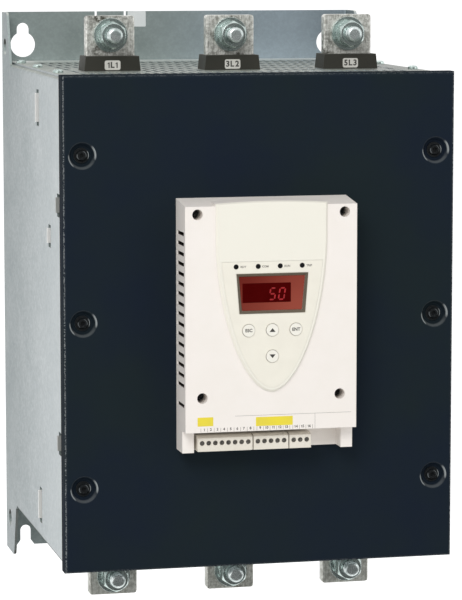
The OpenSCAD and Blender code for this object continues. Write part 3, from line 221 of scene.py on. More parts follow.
class EffectLibrary:
    """Builds each shared effect once, as a group with named inputs and outputs."""

    def __init__(self) -> None:
        """Starts with no group built."""
        self.built: dict[Effect, bpy.types.NodeTree] = {}
        self.makers: dict[Effect, Callable[[], bpy.types.NodeTree]] = {
            Effect.GRAIN: self.grain,
            Effect.SPANGLE: self.spangle,
            Effect.BRUSHED: self.brushed,
            Effect.SMUDGE: self.smudge,
            Effect.EDGE: self.edge,
            Effect.ARC: self.arc,
        }

    def place(self, graph: Graph, effect: Effect, inputs: dict[str, Any]) -> Node:
        """Puts an effect into a material.

        Args:
            graph: The material's graph.
            effect: Which effect.
            inputs: Values, or sockets to link, by the group's input names.

        Returns:
            The group's node, whose outputs carry the effect's own names.
        """
        if effect not in self.built:
            self.built[effect] = self.makers[effect]()
        return graph.node("Group", inputs, node_tree=self.built[effect])

    @staticmethod
    def new_group(
        effect: Effect, vectors: Sequence[str], values: Sequence[str], results: Sequence[str]
    ) -> tuple[Graph, Any, Any]:
        """Starts a group.

        Args:
            effect: The effect that names the group.
            vectors: Names of the vector inputs.
            values: Names of the number inputs.
            results: Names of the number outputs.

        Returns:
            The group's graph, the sockets that bring its inputs and the sockets that take its results.
        """
        tree = bpy.data.node_groups.new(effect.value, "ShaderNodeTree")
        for names, way, kind in (
            (vectors, "INPUT", "NodeSocketVector"),
            (values, "INPUT", "NodeSocketFloat"),
            (results, "OUTPUT", "NodeSocketFloat"),
        ):
            for name in names:
                tree.interface.new_socket(name, in_out=way, socket_type=kind)
        given = tree.nodes.new("NodeGroupInput")
        result = tree.nodes.new("NodeGroupOutput")
        return Graph(tree), given.outputs, result.inputs

    def grain(self) -> bpy.types.NodeTree:
        """Fine grain over a slow mottle: the tone is a third grain and the rest mottle.

        Returns:
            The group.
        """
        graph, given, result = self.new_group(Effect.GRAIN, ["Vector"], ["Scale"], ["Tone", "Height"])
        slower = graph.math("MULTIPLY", given["Scale"], 0.02)
        fine = graph.noise(given["Vector"], given["Scale"], detail=2.0)
        slow = graph.noise(given["Vector"], slower, detail=4.0)
        graph.feed(result["Tone"], graph.weighted((fine, 0.33), (slow, 0.67)))
        graph.feed(result["Height"], fine)
        return graph.tree

    def spangle(self) -> bpy.types.NodeTree:
        """Zinc crystals: cells of two sizes with a chance brightness each, blurred by a cloud.

        Returns:
            The group.
        """
        graph, given, result = self.new_group(Effect.SPANGLE, ["Vector"], ["Scale"], ["Tone", "Height"])
        small, large, cloudy = (graph.math("MULTIPLY", given["Scale"], share) for share in (1.0, 0.42, 0.6))
        cells = []
        for scale in (small, large):
            inputs = {"Vector": given["Vector"], "Scale": scale}
            cell = graph.node("TexVoronoi", inputs, feature="SMOOTH_F1")
            cells.append(graph.node("SeparateColor", {0: cell.outputs["Color"]}).outputs[0])
        cloud = graph.noise(given["Vector"], cloudy, detail=5.0, rough=0.65)
        graph.feed(result["Tone"], graph.weighted((cells[0], 0.3), (cells[1], 0.25), (cloud, 0.45)))
        graph.feed(result["Height"], cells[0])
        return graph.tree

    def brushed(self) -> bpy.types.NodeTree:
        """Fine scratches: noise in space that is stretched along one direction.

        Returns:
            The group.
        """
        graph, given, result = self.new_group(
            Effect.BRUSHED, ["Vector", "Stretch"], ["Scale"], ["Tone", "Height"])
        inputs = {0: given["Vector"], 1: given["Stretch"]}
        stretched = graph.node("VectorMath", inputs, operation="MULTIPLY").outputs[0]
        lines = graph.noise(stretched, given["Scale"], detail=5.0, rough=0.7)
        graph.feed(result["Tone"], graph.ramp(lines, *MOST))
        graph.feed(result["Height"], lines)
        return graph.tree

    def smudge(self) -> bpy.types.NodeTree:
        """Blotches: slow noise between a low and a high mark, as a mask from 0 to 1.

        Returns:
            The group.
        """
        graph, given, result = self.new_group(Effect.SMUDGE, ["Vector"], ["Scale", "Low", "High"], ["Mask"])
        cloud = graph.noise(given["Vector"], given["Scale"], detail=6.0, rough=0.6)
        inputs = {"Value": cloud, "From Min": given["Low"], "From Max": given["High"]}
        graph.feed(result["Mask"], graph.node("MapRange", inputs).outputs[0])
        return graph.tree

    def edge(self) -> bpy.types.NodeTree:
        """Edges, where most finishes paint a highlight: how far the rounded normal leans away from the face's
        own, times a gain.

        Returns:
            The group.
        """
        graph, given, result = self.new_group(Effect.EDGE, ["Rounded", "Face"], ["Gain"], ["Mask"])
        likeness = graph.dot(given["Rounded"], given["Face"])
        lean = graph.math("MULTIPLY", graph.math("SUBTRACT", 1.0, likeness), given["Gain"])
        graph.feed(result["Mask"], graph.ramp(lean, 0.0, 1.0))
        return graph.tree

    def arc(self) -> bpy.types.NodeTree:
        """Painted highlights: arcs round the nearest of the cover's cups.

        X is folded at the middle and Z is taken modulo the pitch, so that each cup is the origin of
        its own coordinates. The mask is 1 at the radius, 0 at half the width from it, and fades as
        the direction from the cup turns away from the one given.

        Returns:
            The group.
        """
        values = ["Cup X", "Pitch", "Lift", "Radius", "Width", "Toward X", "Toward Z", "Low", "High"]
        graph, given, result = self.new_group(Effect.ARC, ["Vector"], values, ["Mask"])
        across = graph.axis(given["Vector"], "X")
        folded = graph.math("SUBTRACT", graph.math("ABSOLUTE", across), given["Cup X"])
        right = graph.math("MULTIPLY", folded, graph.math("SIGN", across))
        half = graph.math("MULTIPLY", given["Pitch"], 0.5)
        raised = graph.math("ADD", graph.axis(given["Vector"], "Z"), half)
        rows = graph.math("FLOORED_MODULO", graph.math("SUBTRACT", raised, given["Lift"]), given["Pitch"])
        spot = graph.upright(right, graph.math("SUBTRACT", rows, half))
        away = graph.length(spot)
        off = graph.math("ABSOLUTE", graph.math("SUBTRACT", away, given["Radius"]))
        share = graph.math("DIVIDE", off, graph.math("MULTIPLY", given["Width"], 0.5))
        along = graph.dot(spot, graph.upright(given["Toward X"], given["Toward Z"]))
        turned = graph.ramp(graph.math("DIVIDE", along, away), given["Low"], given["High"])
        graph.feed(result["Mask"], graph.math("MULTIPLY", graph.ramp(share, 1.0, 0.2), turned))
        return graph.tree


EFFECTS = EffectLibrary()


class Coat(Graph):
    """The graph of one finish's material, with its shader and the piece's own coordinates."""

    def __init__(self, finish: "Finish") -> None:
        """Makes the material, with one Principled shader in it.

        Args:
            finish: The finish, which gives the name, the sheen and the rounding of edges.
        """
        self.material = bpy.data.materials.new(finish.name)
        super().__init__(emptied(self.material))
        self.soft_edge = finish.soft_edge
        self.shader = self.node("BsdfPrincipled", {
            "Roughness": finish.roughness, "Metallic": finish.metallic, "Specular IOR Level": finish.gloss})
        self.node("OutputMaterial", {"Surface": self.shader.outputs[0]})
        self.place = self.node("TexCoord").outputs["Object"]

    def set(self, name: str, value: Any) -> None:
        """Feeds one input of the shader."""
        self.feed(self.shader.inputs[name], value)

    def cover(self, mask: Socket, colour: Colour) -> None:
        """Lays a colour over the one that the shader has, where a mask is 1."""
        under = self.shader.inputs["Base Color"].links[0].from_socket
        self.set("Base Color", self.mix(mask, under, linear(colour)))

    def effect(self, effect: Effect, inputs: dict[str, Any]) -> Node:
        """Places a shared effect on the piece's own coordinates and returns its node."""
        return EFFECTS.place(self, effect, {"Vector": self.place, **inputs})

    def smudge(self, scale: float, marks: Span) -> Socket:
        """Returns blotches as a mask, from a slow noise between two marks."""
        inputs = {"Scale": scale, "Low": marks[0], "High": marks[1]}
        return self.effect(Effect.SMUDGE, inputs).outputs["Mask"]

    def rounded(self) -> Socket:
        """Returns the normal with the edges rounded by the finish's soft_edge."""
        return self.node("Bevel", {"Radius": self.soft_edge}, samples=6).outputs[0]

    def relief(self, height: Socket, depth: float) -> None:
        """Raises the surface by a height pattern of the given depth, over the rounded normal."""
        inputs = {"Height": height, "Distance": depth, "Strength": 1.0, "Normal": self.rounded()}
        self.set("Normal", self.node("Bump", inputs).outputs[0])

    def edges(self, gain: float) -> Socket:
        """Finds the piece's edges, where most finishes paint a highlight.

        Args:
            gain: How quickly the mask reaches 1 as the rounded normal leans over.

        Returns:
            A mask that is 1 on the edges.
        """
        face = self.node("NewGeometry").outputs["Normal"]
        inputs = {"Rounded": self.rounded(), "Face": face, "Gain": gain}
        return EFFECTS.place(self, Effect.EDGE, inputs).outputs["Mask"]


# Finishes


@dataclass(frozen=True)
class Finish:
    """What every finish has: a colour, a sheen and softened edges."""

    name: str
    colour: Colour
    roughness: float = 0.5
    metallic: float = 0.0
    gloss: float = 0.5
    soft_edge: float = 0.3 * MM

    def build(self) -> bpy.types.Material:
        """Makes the material.

        Returns:
            The material, whose shader paint() has fed.
        """
        coat = Coat(self)
        self.paint(coat)
        return coat.material

    def paint(self, coat: Coat) -> None:
        """Feeds the shader, each kind of finish in its own way."""
        raise NotImplementedError


@dataclass(frozen=True)
class SheetSpot:
    """What zinc's colour depends on: crystals, clouds, X, share of the depth, and the normal's Y and Z."""

    tone: Socket
    clouds: Socket
    across: Socket
    forward: Socket
    facing: Socket
    rise: Socket


@dataclass(frozen=True)
class GalvanisedSteel(Finish):
    """Zinc-coated sheet: faint crystals and clouds, with painted light and shade by place and direction.

    The colour is that of a side wall's front. Painted shade darkens the sides towards the rear and the
    plates where they look ahead, a painted reflection makes the plates bluer on the right, and the top
    has a painted highlight at the rear and painted shade at the right and the front. Tabs are what lies
    further out than tab_from, and take a painted highlight.
    """

    # rear: painted shade of the side walls at the wall
    rear: Colour = (131, 141, 143)
    # plates: painted shade, darker than the sides, and a painted reflection, bluer on the right
    dull: Colour = (160, 171, 170)
    dull_dark: Colour = (130, 141, 139)
    right: Colour = (160, 174, 183)
    right_dark: Colour = (136, 149, 157)
    right_span: Span = (-50.0 * MM, 90.0 * MM)
    # top: painted tones, with a painted highlight at the rear and painted shade at the right and front
    upper: Colour = (172, 178, 171)
    upper_dark: Colour = (138, 144, 137)
    upper_right: Colour = (138, 142, 137)
    upper_right_span: Span = (60.0 * MM, 120.0 * MM)
    upper_rear: Colour = (236, 240, 236)
    upper_rear_span: Span = (0.03, 0.2)
    upper_rear_share: float = 0.8
    upper_front: Colour = (144, 148, 142)
    upper_front_span: Span = (0.7, 1.0)
    # under: painted shade on the lower bends
    under: Colour = (62, 60, 55)
    # tab: painted highlight on the tabs
    tab_highlight: Colour = (246, 246, 243)
    tab_from: float = 1.0
    tab_edge: float = 0.5 * MM
    crystals: float = 700.0
    crystal_depth: float = 0.012 * MM
    crystal_fade: float = 0.16
    cloud_scale: float = 14.0
    depth: float = 290.0 * MM

    def paint(self, coat: Coat) -> None:
        """Mixes painted tones of sides, plates and top by the way a face looks, then lays painted shade
        on the lower bends and a painted highlight on the tabs.

        Args:
            coat: The material's graph.
        """
        spangle = coat.effect(Effect.SPANGLE, {"Scale": self.crystals})
        normal = coat.node("TexCoord").outputs["Normal"]
        spot = SheetSpot(
            tone=coat.ramp(spangle.outputs["Tone"], *MIDDLE),
            clouds=coat.smudge(self.cloud_scale, MOST),
            across=coat.axis(coat.place, "X"),
            forward=coat.math("DIVIDE", coat.axis(coat.place, "Y"), -self.depth),
            facing=coat.axis(normal, "Y"),
            rise=coat.axis(normal, "Z"),
        )
        ahead = coat.ramp(coat.math("ABSOLUTE", spot.facing), *SQUARE_ON)
        # painted light and shade: sides, plates and top take their own colours by the way they face
        walls = coat.mix(ahead, self.side(coat, spot), self.plate(coat, spot))
        sheet = coat.mix(coat.ramp(spot.rise, *SQUARE_ON), walls, self.top(coat, spot))
        coat.set("Base Color", sheet)
        # painted shade on the lower bends
        bend = self.lower_bend(coat, spot)
        coat.cover(bend, self.under)
        # painted highlight on the tabs
        away = coat.math("ABSOLUTE", spot.across)
        coat.cover(coat.ramp(away, self.tab_from, self.tab_from + self.tab_edge), self.tab_highlight)
        rough = coat.weighted((spot.clouds, 0.12), (spot.tone, -0.08), (bend, 0.5), base=self.roughness)
        coat.set("Roughness", rough)
        coat.set("Metallic", coat.ramp(bend, 0.0, 0.8, self.metallic, 0.0))
        coat.relief(spangle.outputs["Height"], self.crystal_depth)

    def side(self, coat: Coat, spot: SheetSpot) -> Socket:
        """Fades the side walls into painted shade towards the rear, with the fade broken up by the crystals.

        Args:
            coat: The material's graph.
            spot: What the colour depends on.

        Returns:
            The colour.
        """
        uneven = coat.math("SUBTRACT", spot.tone, 0.5)
        share = coat.weighted((uneven, self.crystal_fade), base=spot.forward)
        return coat.mix(coat.ramp(share, 0.0, 1.0), linear(self.rear), linear(self.colour))

    def plate(self, coat: Coat, spot: SheetSpot) -> Socket:
        """Varies the plates, painted darker than the sides, by crystals and clouds, with a painted reflection
        bluer on the right where they look ahead.

        Args:
            coat: The material's graph.
            spot: What the colour depends on.

        Returns:
            The colour.
        """
        low, high = SQUARE_ON
        ahead = coat.ramp(spot.facing, -low, -high)
        drift = coat.math("MULTIPLY", coat.ramp(spot.across, *self.right_span), ahead)
        dark = coat.mix(drift, linear(self.dull_dark), linear(self.right_dark))
        pale = coat.mix(drift, linear(self.dull), linear(self.right))
        return coat.mix(coat.weighted((spot.tone, 0.45), (spot.clouds, 0.55)), dark, pale)

    def top(self, coat: Coat, spot: SheetSpot) -> Socket:
        """Varies the top by crystals, then paints shade at the right and the front and a highlight at the
        rear.

        Args:
            coat: The material's graph.
            spot: What the colour depends on.

        Returns:
            The colour.
        """
        top = coat.mix(spot.tone, linear(self.upper_dark), linear(self.upper))
        for mask, colour in (
            (coat.ramp(spot.across, *self.upper_right_span), self.upper_right),
            (coat.ramp(spot.forward, *self.upper_rear_span, self.upper_rear_share, 0.0), self.upper_rear),
            (coat.ramp(spot.forward, *self.upper_front_span), self.upper_front),
        ):
            top = coat.mix(mask, top, linear(colour))
        return top

    @staticmethod
    def lower_bend(coat: Coat, spot: SheetSpot) -> Socket:
        """Returns a mask of painted shade on the lower bends, where a face looks down but not straight down.
        """
        leaning = coat.ramp(spot.rise, -0.05, -0.4, 0.0, 0.9)
        return coat.math("MULTIPLY", leaning, coat.ramp(spot.rise, -0.99, -0.9))


@dataclass(frozen=True)
class Arc:
    """Painted highlight: a pale arc round a cup.

    It lies toward a direction in X and Z, and turn holds the cosines at which it starts and is full.
    """

    radius: float
    width: float
    toward: Span
    turn: Span
    strength: float


@dataclass(frozen=True)
class Cups:
    """Where the cover's pressed cups stand: the X of the columns, and the rows' pitch and lift."""

    cup_x: float = 137.0 * MM
    pitch: float = 126.0 * MM
    lift: float = 2.2 * MM

    def rims(self, coat: Coat, arcs: Sequence[Arc]) -> Socket:
        """Lays painted highlight arcs round every cup.

        Args:
            coat: The material's graph.
            arcs: The arcs of one cup.

        Returns:
            The strongest arc at each place.
        """
        strongest: Any = 0.0
        for arc in arcs:
            mask = coat.effect(Effect.ARC, {
                "Cup X": self.cup_x, "Pitch": self.pitch, "Lift": self.lift, "Radius": arc.radius,
                "Width": arc.width, "Toward X": arc.toward[0], "Toward Z": arc.toward[1],
                "Low": arc.turn[0], "High": arc.turn[1],
            }).outputs["Mask"]
            strongest = coat.math("MAXIMUM", strongest, coat.math("MULTIPLY", mask, arc.strength))
        return strongest


@dataclass(frozen=True)
class PowderCoat(Finish):
    """Baked paint with a fine orange peel, and painted highlights: a pale broken line where the sheet bends,
    and pale cup rims.
    """

    cool: Colour = (27, 35, 47)
    # colour of the painted highlights on the bends and the cup rims
    painted_highlight: Colour = (190, 196, 196)
    drift_scale: float = 9.0
    drift_marks: Span = (0.35, 0.65)
    peel: float = 1500.0
    peel_depth: float = 0.025 * MM
    half_size: Span = (152.0 * MM, 188.0 * MM)
    face_depth: float = 305.0 * MM
    bend: float = 3.0 * MM
    bend_middle: Span = (0.42, 0.66)
    # how strong the bends' painted highlight is at the left and right, and at the top and bottom
    bend_highlight: Span = (1.0, 0.3)
    bend_share: float = 0.34
    speckle: float = 950.0
    speckle_marks: Span = (0.42, 0.6)
    coat_span: Span = (0.06, 0.6)
    coat_roughness: float = 0.25
    cups: Cups = Cups()
    # arcs: painted highlights round each cup
    arcs: tuple[Arc, ...] = (
        Arc(10.0 * MM, 1.8 * MM, (0.97, 0.24), (0.8, 0.99), 0.66),
        Arc(10.1 * MM, 1.6 * MM, (-0.92, -0.4), (0.84, 0.98), 0.5),
        Arc(9.4 * MM, 2.6 * MM, (0.15, -0.99), (0.1, 0.9), 0.13),
        Arc(9.9 * MM, 1.2 * MM, (-0.5, 0.87), (-0.9, 1.0), 0.06),
    )

    def paint(self, coat: Coat) -> None:
        """Two close dark tones drift over the face; painted highlights lay a pale speckle on the bends
        and pale arcs round the cups.

        Args:
            coat: The material's graph.
        """
        grain = coat.effect(Effect.GRAIN, {"Scale": self.peel})
        drift = coat.smudge(self.drift_scale, self.drift_marks)
        face = coat.mix(drift, linear(self.cool), linear(self.colour))
        speckle = coat.ramp(coat.noise(coat.place, self.speckle, detail=3.0), *self.speckle_marks)
        # painted highlights: a speckle on the bends and arcs round the cups
        bends = coat.math("MULTIPLY", self.bend_line(coat), speckle)
        rims = self.cups.rims(coat, self.arcs)
        painted_highlight = coat.math("MAXIMUM", coat.math("MULTIPLY", bends, self.bend_share), rims)
        coat.set("Base Color", coat.mix(painted_highlight, face, linear(self.painted_highlight)))
        coat.set("Coat Weight", coat.ramp(bends, 0.0, 1.0, *self.coat_span))
        coat.set("Coat Roughness", self.coat_roughness)
        smooth, rough = self.roughness - 0.06, self.roughness + 0.08
        coat.set("Roughness", coat.ramp(grain.outputs["Tone"], *MOST, smooth, rough))
        coat.relief(grain.outputs["Height"], self.peel_depth)

    def bend_line(self, coat: Coat) -> Socket:
        """Finds the middle of each bend, where the painted highlight lies.

        In a bend both the way out from the middle and the way forward are past the bend's start, so
        the smaller of the two is largest half way round.

        Args:
            coat: The material's graph.

        Returns:
            A mask that is strongest half way round.
        """
        depth = coat.math("MULTIPLY", coat.axis(coat.place, "Y"), -1.0)
        forward = coat.math("SUBTRACT", depth, self.face_depth - self.bend)
        low, high = (share * self.bend for share in self.bend_middle)
        turned: Any = 0.0
        for name, half, highlight_level in zip("XZ", self.half_size, self.bend_highlight):
            away = coat.math("ABSOLUTE", coat.axis(coat.place, name))
            out = coat.math("SUBTRACT", away, half - self.bend)
            middle = coat.ramp(coat.math("MINIMUM", out, forward), low, high, 0.0, highlight_level)
            turned = coat.math("MAXIMUM", turned, middle)
        return turned


@dataclass(frozen=True)
class TinnedBar(Finish):
    """Tin-plated bar: short rolling lines along its length, a mottle, dull stains and a painted highlight on
    the edges.
    """

    metallic: float = 0.45
    soft_edge: float = 0.6 * MM
    bright: Colour = (246, 246, 240)
    stain: Colour = (62, 60, 50)
    stain_scale: float = 60.0
    soil: Span = (0.44, 0.6)
    lines: Triple = (1.0, 1.0, 0.12)
    line_scale: float = 800.0
    line_depth: float = 0.03 * MM
    mottle_scale: float = 330.0
    edge_gain: float = 6.0

    def paint(self, coat: Coat) -> None:
        """Colour runs from tin to bright by the lines and the mottle, with stains, and edges take a painted
        highlight.

        Args:
            coat: The material's graph.
        """
        lines = coat.effect(Effect.BRUSHED, {"Stretch": self.lines, "Scale": self.line_scale})
        mottle = coat.ramp(coat.noise(coat.place, self.mottle_scale, detail=5.0, rough=0.7), *MOST)
        stains = coat.smudge(self.stain_scale, self.soil)
        share = coat.weighted((lines.outputs["Tone"], 0.35), (mottle, 0.65))
        coat.set("Base Color", coat.mix(coat.ramp(share, 0.2, 0.8), linear(self.colour), linear(self.bright)))
        coat.cover(coat.math("MULTIPLY", stains, coat.ramp(share, 0.9, 0.3, 0.3, 1.0)), self.stain)
        # painted highlight: the edges in the bright colour
        coat.cover(coat.edges(self.edge_gain), self.bright)
        coat.set("Roughness", coat.weighted((stains, 0.2), base=self.roughness))
        coat.relief(lines.outputs["Height"], self.line_depth)


@dataclass(frozen=True)
class PlatedMetal(Finish):
    """Turned or plated metal: fine tool lines, slight tarnish and a painted highlight on the edges."""

    tarnish: Colour = (104, 124, 120)
    tarnish_scale: float = 160.0
    tarnish_marks: Span = (0.42, 0.68)
    tarnish_share: float = 0.7
    bright: Colour = (226, 234, 232)
    lines: Triple = (1.0, 0.25, 1.0)
    line_scale: float = 900.0
    line_depth: float = 0.012 * MM
    edge_gain: float = 5.0

    def paint(self, coat: Coat) -> None:
        """Plating between its own and its tarnished colour, with tool lines in the relief.

        Args:
            coat: The material's graph.
        """
        lines = coat.effect(Effect.BRUSHED, {"Stretch": self.lines, "Scale": self.line_scale})
        tarnish = coat.smudge(self.tarnish_scale, self.tarnish_marks)
        share = coat.math("MULTIPLY", tarnish, self.tarnish_share)
        coat.set("Base Color", coat.mix(share, linear(self.colour), linear(self.tarnish)))
        # painted highlight: the edges in the bright colour
        coat.cover(coat.edges(self.edge_gain), self.bright)
        coat.set("Roughness", coat.weighted((tarnish, 0.14), base=self.roughness))
        coat.relief(lines.outputs["Height"], self.line_depth)


@dataclass(frozen=True)
class CupScrew(PlatedMetal):
    """Blackened screw in a cup, with painted highlights: pale arcs on the rims of its head and washer face.
    """

    # pale: colour of the painted highlights on the rims
    pale: Colour = (150, 156, 158)
    cups: Cups = Cups()
    arcs: tuple[Arc, ...] = (
        Arc(5.6 * MM, 1.3 * MM, (0.99, 0.1), (0.78, 0.97), 0.9),
        Arc(3.4 * MM, 0.9 * MM, (0.9, 0.43), (0.5, 0.95), 0.55),
        Arc(3.5 * MM, 0.9 * MM, (-0.95, -0.3), (0.7, 0.97), 0.6),
        Arc(6.0 * MM, 0.8 * MM, (-0.3, -0.95), (0.2, 0.9), 0.2),
    )

    def paint(self, coat: Coat) -> None:
        """As plated metal, with the rims' painted highlight arcs in the pale colour."""
        super().paint(coat)
        coat.cover(self.cups.rims(coat, self.arcs), self.pale)


@dataclass(frozen=True)
class MouldedPlastic(Finish):
    """Moulded plastic: spark-eroded grain, a slow drift of tone, and edges in a tone of their own:
    a painted highlight where it is paler than the colour, a darker line on the film and keys.
    """

    gloss: float = 0.3
    second: Colour = (238, 232, 224)
    edge_tone: Colour = (250, 247, 242)
    edge_tone_share: float = 0.6
    edge_gain: float = 4.0
    grain: float = 2600.0
    grain_depth: float = 0.02 * MM

    def paint(self, coat: Coat) -> None:
        """Two close tones by the grain's mottle; edges take their own tone, a painted highlight where paler.

        Args:
            coat: The material's graph.
        """
        grain = coat.effect(Effect.GRAIN, {"Scale": self.grain})
        tone = coat.ramp(grain.outputs["Tone"], *MIDDLE)
        coat.set("Base Color", coat.mix(tone, linear(self.colour), linear(self.second)))
        # edges: a painted highlight where their tone is paler than the colour
        coat.cover(coat.math("MULTIPLY", coat.edges(self.edge_gain), self.edge_tone_share), self.edge_tone)
        coat.set("Roughness", coat.ramp(tone, 0.0, 1.0, self.roughness - 0.05, self.roughness + 0.07))
        coat.relief(grain.outputs["Height"], self.grain_depth)


@dataclass(frozen=True)
class ModuleMoulding(MouldedPlastic):
    """The control module's cream plastic: a raised tongue a shade yellower, and painted shade inside.

    The painted shade fills a box behind the shell's front, less a round well about each lower screw.
    """

    tongue: Colour = (240, 237, 225)
    tongue_depth: float = 337.8 * MM
    tongue_edge: float = 0.4 * MM
    # hollow: the colour of the painted shade on the inner walls
    hollow: Colour = (46, 37, 31)
    hollow_half: float = 65.0 * MM
    hollow_front: float = 335.3 * MM
    hollow_low: float = -77.0 * MM
    hollow_high: float = 76.0 * MM
    hollow_edge: float = 0.15 * MM
    well: Span = (53.0 * MM, -52.25 * MM)
    well_radius: float = 4.6 * MM

    def paint(self, coat: Coat) -> None:
        """As the plain moulding, with the tongue's tint in front of tongue_depth and the painted shade
        inside.

        Args:
            coat: The material's graph.
        """
        super().paint(coat)
        depth = coat.math("MULTIPLY", coat.axis(coat.place, "Y"), -1.0)
        coat.cover(coat.ramp(depth, self.tongue_depth, self.tongue_depth + self.tongue_edge), self.tongue)
        coat.cover(self.inner_shade(coat, depth), self.hollow)

    def inner_shade(self, coat: Coat, depth: Socket) -> Socket:
        """Finds the inner walls, which take painted shade: what lies within the box and clear of the wells.

        Args:
            coat: The material's graph.
            depth: The depth from the wall.

        Returns:
            A mask that is 1 inside.
        """
        edge = self.hollow_edge
        away = coat.math("ABSOLUTE", coat.axis(coat.place, "X"))
        height = coat.axis(coat.place, "Z")
        beside = coat.math("SUBTRACT", away, self.well[0])
        above = coat.math("SUBTRACT", height, self.well[1])
        in_shade = coat.ramp(coat.length(coat.upright(beside, above)), self.well_radius, self.well_radius + edge)
        for value, end, reach in (
            (away, self.hollow_half, edge),
            (depth, self.hollow_front, edge),
            (height, self.hollow_high, edge),
            (height, self.hollow_low, -edge),
        ):
            in_shade = coat.math("MULTIPLY", in_shade, coat.ramp(value, end + reach, end - reach))
        return in_shade


@dataclass(frozen=True)
class PrintInk(Finish):
    """Screen-printed ink or foil: one colour with a slightly uneven lay."""

    roughness: float = 0.6
    gloss: float = 0.2
    soft_edge: float = 0.05 * MM
    thin: Colour = (110, 108, 104)
    grain: float = 3500.0
    grain_marks: Span = (0.4, 0.75)
    grain_depth: float = 0.006 * MM

    def paint(self, coat: Coat) -> None:
        """The ink is thinner where a fine cloud is high, and lies a little rough.

        Args:
            coat: The material's graph.
        """
        grain = coat.effect(Effect.GRAIN, {"Scale": self.grain})
        tone = coat.ramp(grain.outputs["Tone"], *self.grain_marks)
        coat.set("Base Color", coat.mix(tone, linear(self.colour), linear(self.thin)))
        coat.set("Roughness", coat.ramp(tone, 0.0, 1.0, self.roughness, self.roughness + 0.1))
        coat.relief(grain.outputs["Height"], self.grain_depth)


@dataclass(frozen=True)
class TintedWindow(Finish):
    """Red filter window: painted shade at the upper left, painted light at the right, with a polished face.
    """

    deep: Colour = (102, 32, 26)
    left_right: Span = (-26.0 * MM, 26.0 * MM)
    top_bottom: Span = (40.0 * MM, 12.0 * MM)
    dull: float = 0.2
    grain: float = 900.0
    grain_depth: float = 0.002 * MM

    def paint(self, coat: Coat) -> None:
        """The share of the paler red grows with X and falls with Z, plus a faint cloud.

        Args:
            coat: The material's graph.
        """
        # painted shade and light: the red is paler to the right and lower down
        across = coat.ramp(coat.axis(coat.place, "X"), *self.left_right)
        down = coat.ramp(coat.axis(coat.place, "Z"), *self.top_bottom)
        grain = coat.effect(Effect.GRAIN, {"Scale": self.grain})
        share = coat.weighted((across, 0.6), (down, 0.35), (grain.outputs["Tone"], 0.08))
        coat.set("Base Color", coat.mix(share, linear(self.deep), linear(self.colour)))
        coat.set("Roughness", coat.ramp(grain.outputs["Tone"], *MOST, self.roughness, self.dull))
        coat.relief(grain.outputs["Height"], self.grain_depth)


@dataclass(frozen=True)
class GlowingSegments(Finish):
    """Lit display segments, brighter in the middle of each cloud."""

    glow: Colour = (172, 24, 32)
    unlit: Colour = (30, 4, 5)
    cloud_scale: float = 420.0

    def paint(self, coat: Coat) -> None:
        """The glow's colour drifts slightly, so that the strokes look lit from behind.

        Args:
            coat: The material's graph.
        """
        cloud = coat.ramp(coat.noise(coat.place, self.cloud_scale), *MOST)
        coat.set("Base Color", linear(self.unlit))
        coat.set("Emission Color", coat.mix(cloud, linear(self.colour), linear(self.glow)))
        coat.set("Emission Strength", 1.0)


@dataclass(frozen=True)
class CircuitBoard(Finish):
    """Lacquered board: green with paler copper tracks in a grid."""

    track: Colour = (74, 140, 96)
    track_pitch: float = 260.0
    track_height: float = 0.03 * MM
    dull: float = 0.5
    grain: float = 800.0
    grain_marks: Span = (0.35, 0.6)

    def paint(self, coat: Coat) -> None:
        """Tracks are the joints of a brick pattern in the board's own plane, broken by a cloud.

        Args:
            coat: The material's graph.
        """
        turned = {"Vector": coat.place, "Rotation": (math.radians(90), 0.0, 0.0)}
        tracks = coat.node("TexBrick", {
            "Vector": coat.node("Mapping", turned).outputs[0], "Scale": self.track_pitch,
            "Mortar Size": 0.06, "Mortar Smooth": 0.2,
        }).outputs["Fac"]
        grain = coat.effect(Effect.GRAIN, {"Scale": self.grain}).outputs["Tone"]
        share = coat.math("MULTIPLY", tracks, coat.ramp(grain, *self.grain_marks))
        coat.set("Base Color", coat.mix(share, linear(self.colour), linear(self.track)))
        coat.set("Roughness", coat.ramp(grain, *MOST, self.roughness, self.dull))
        coat.relief(tracks, self.track_height)


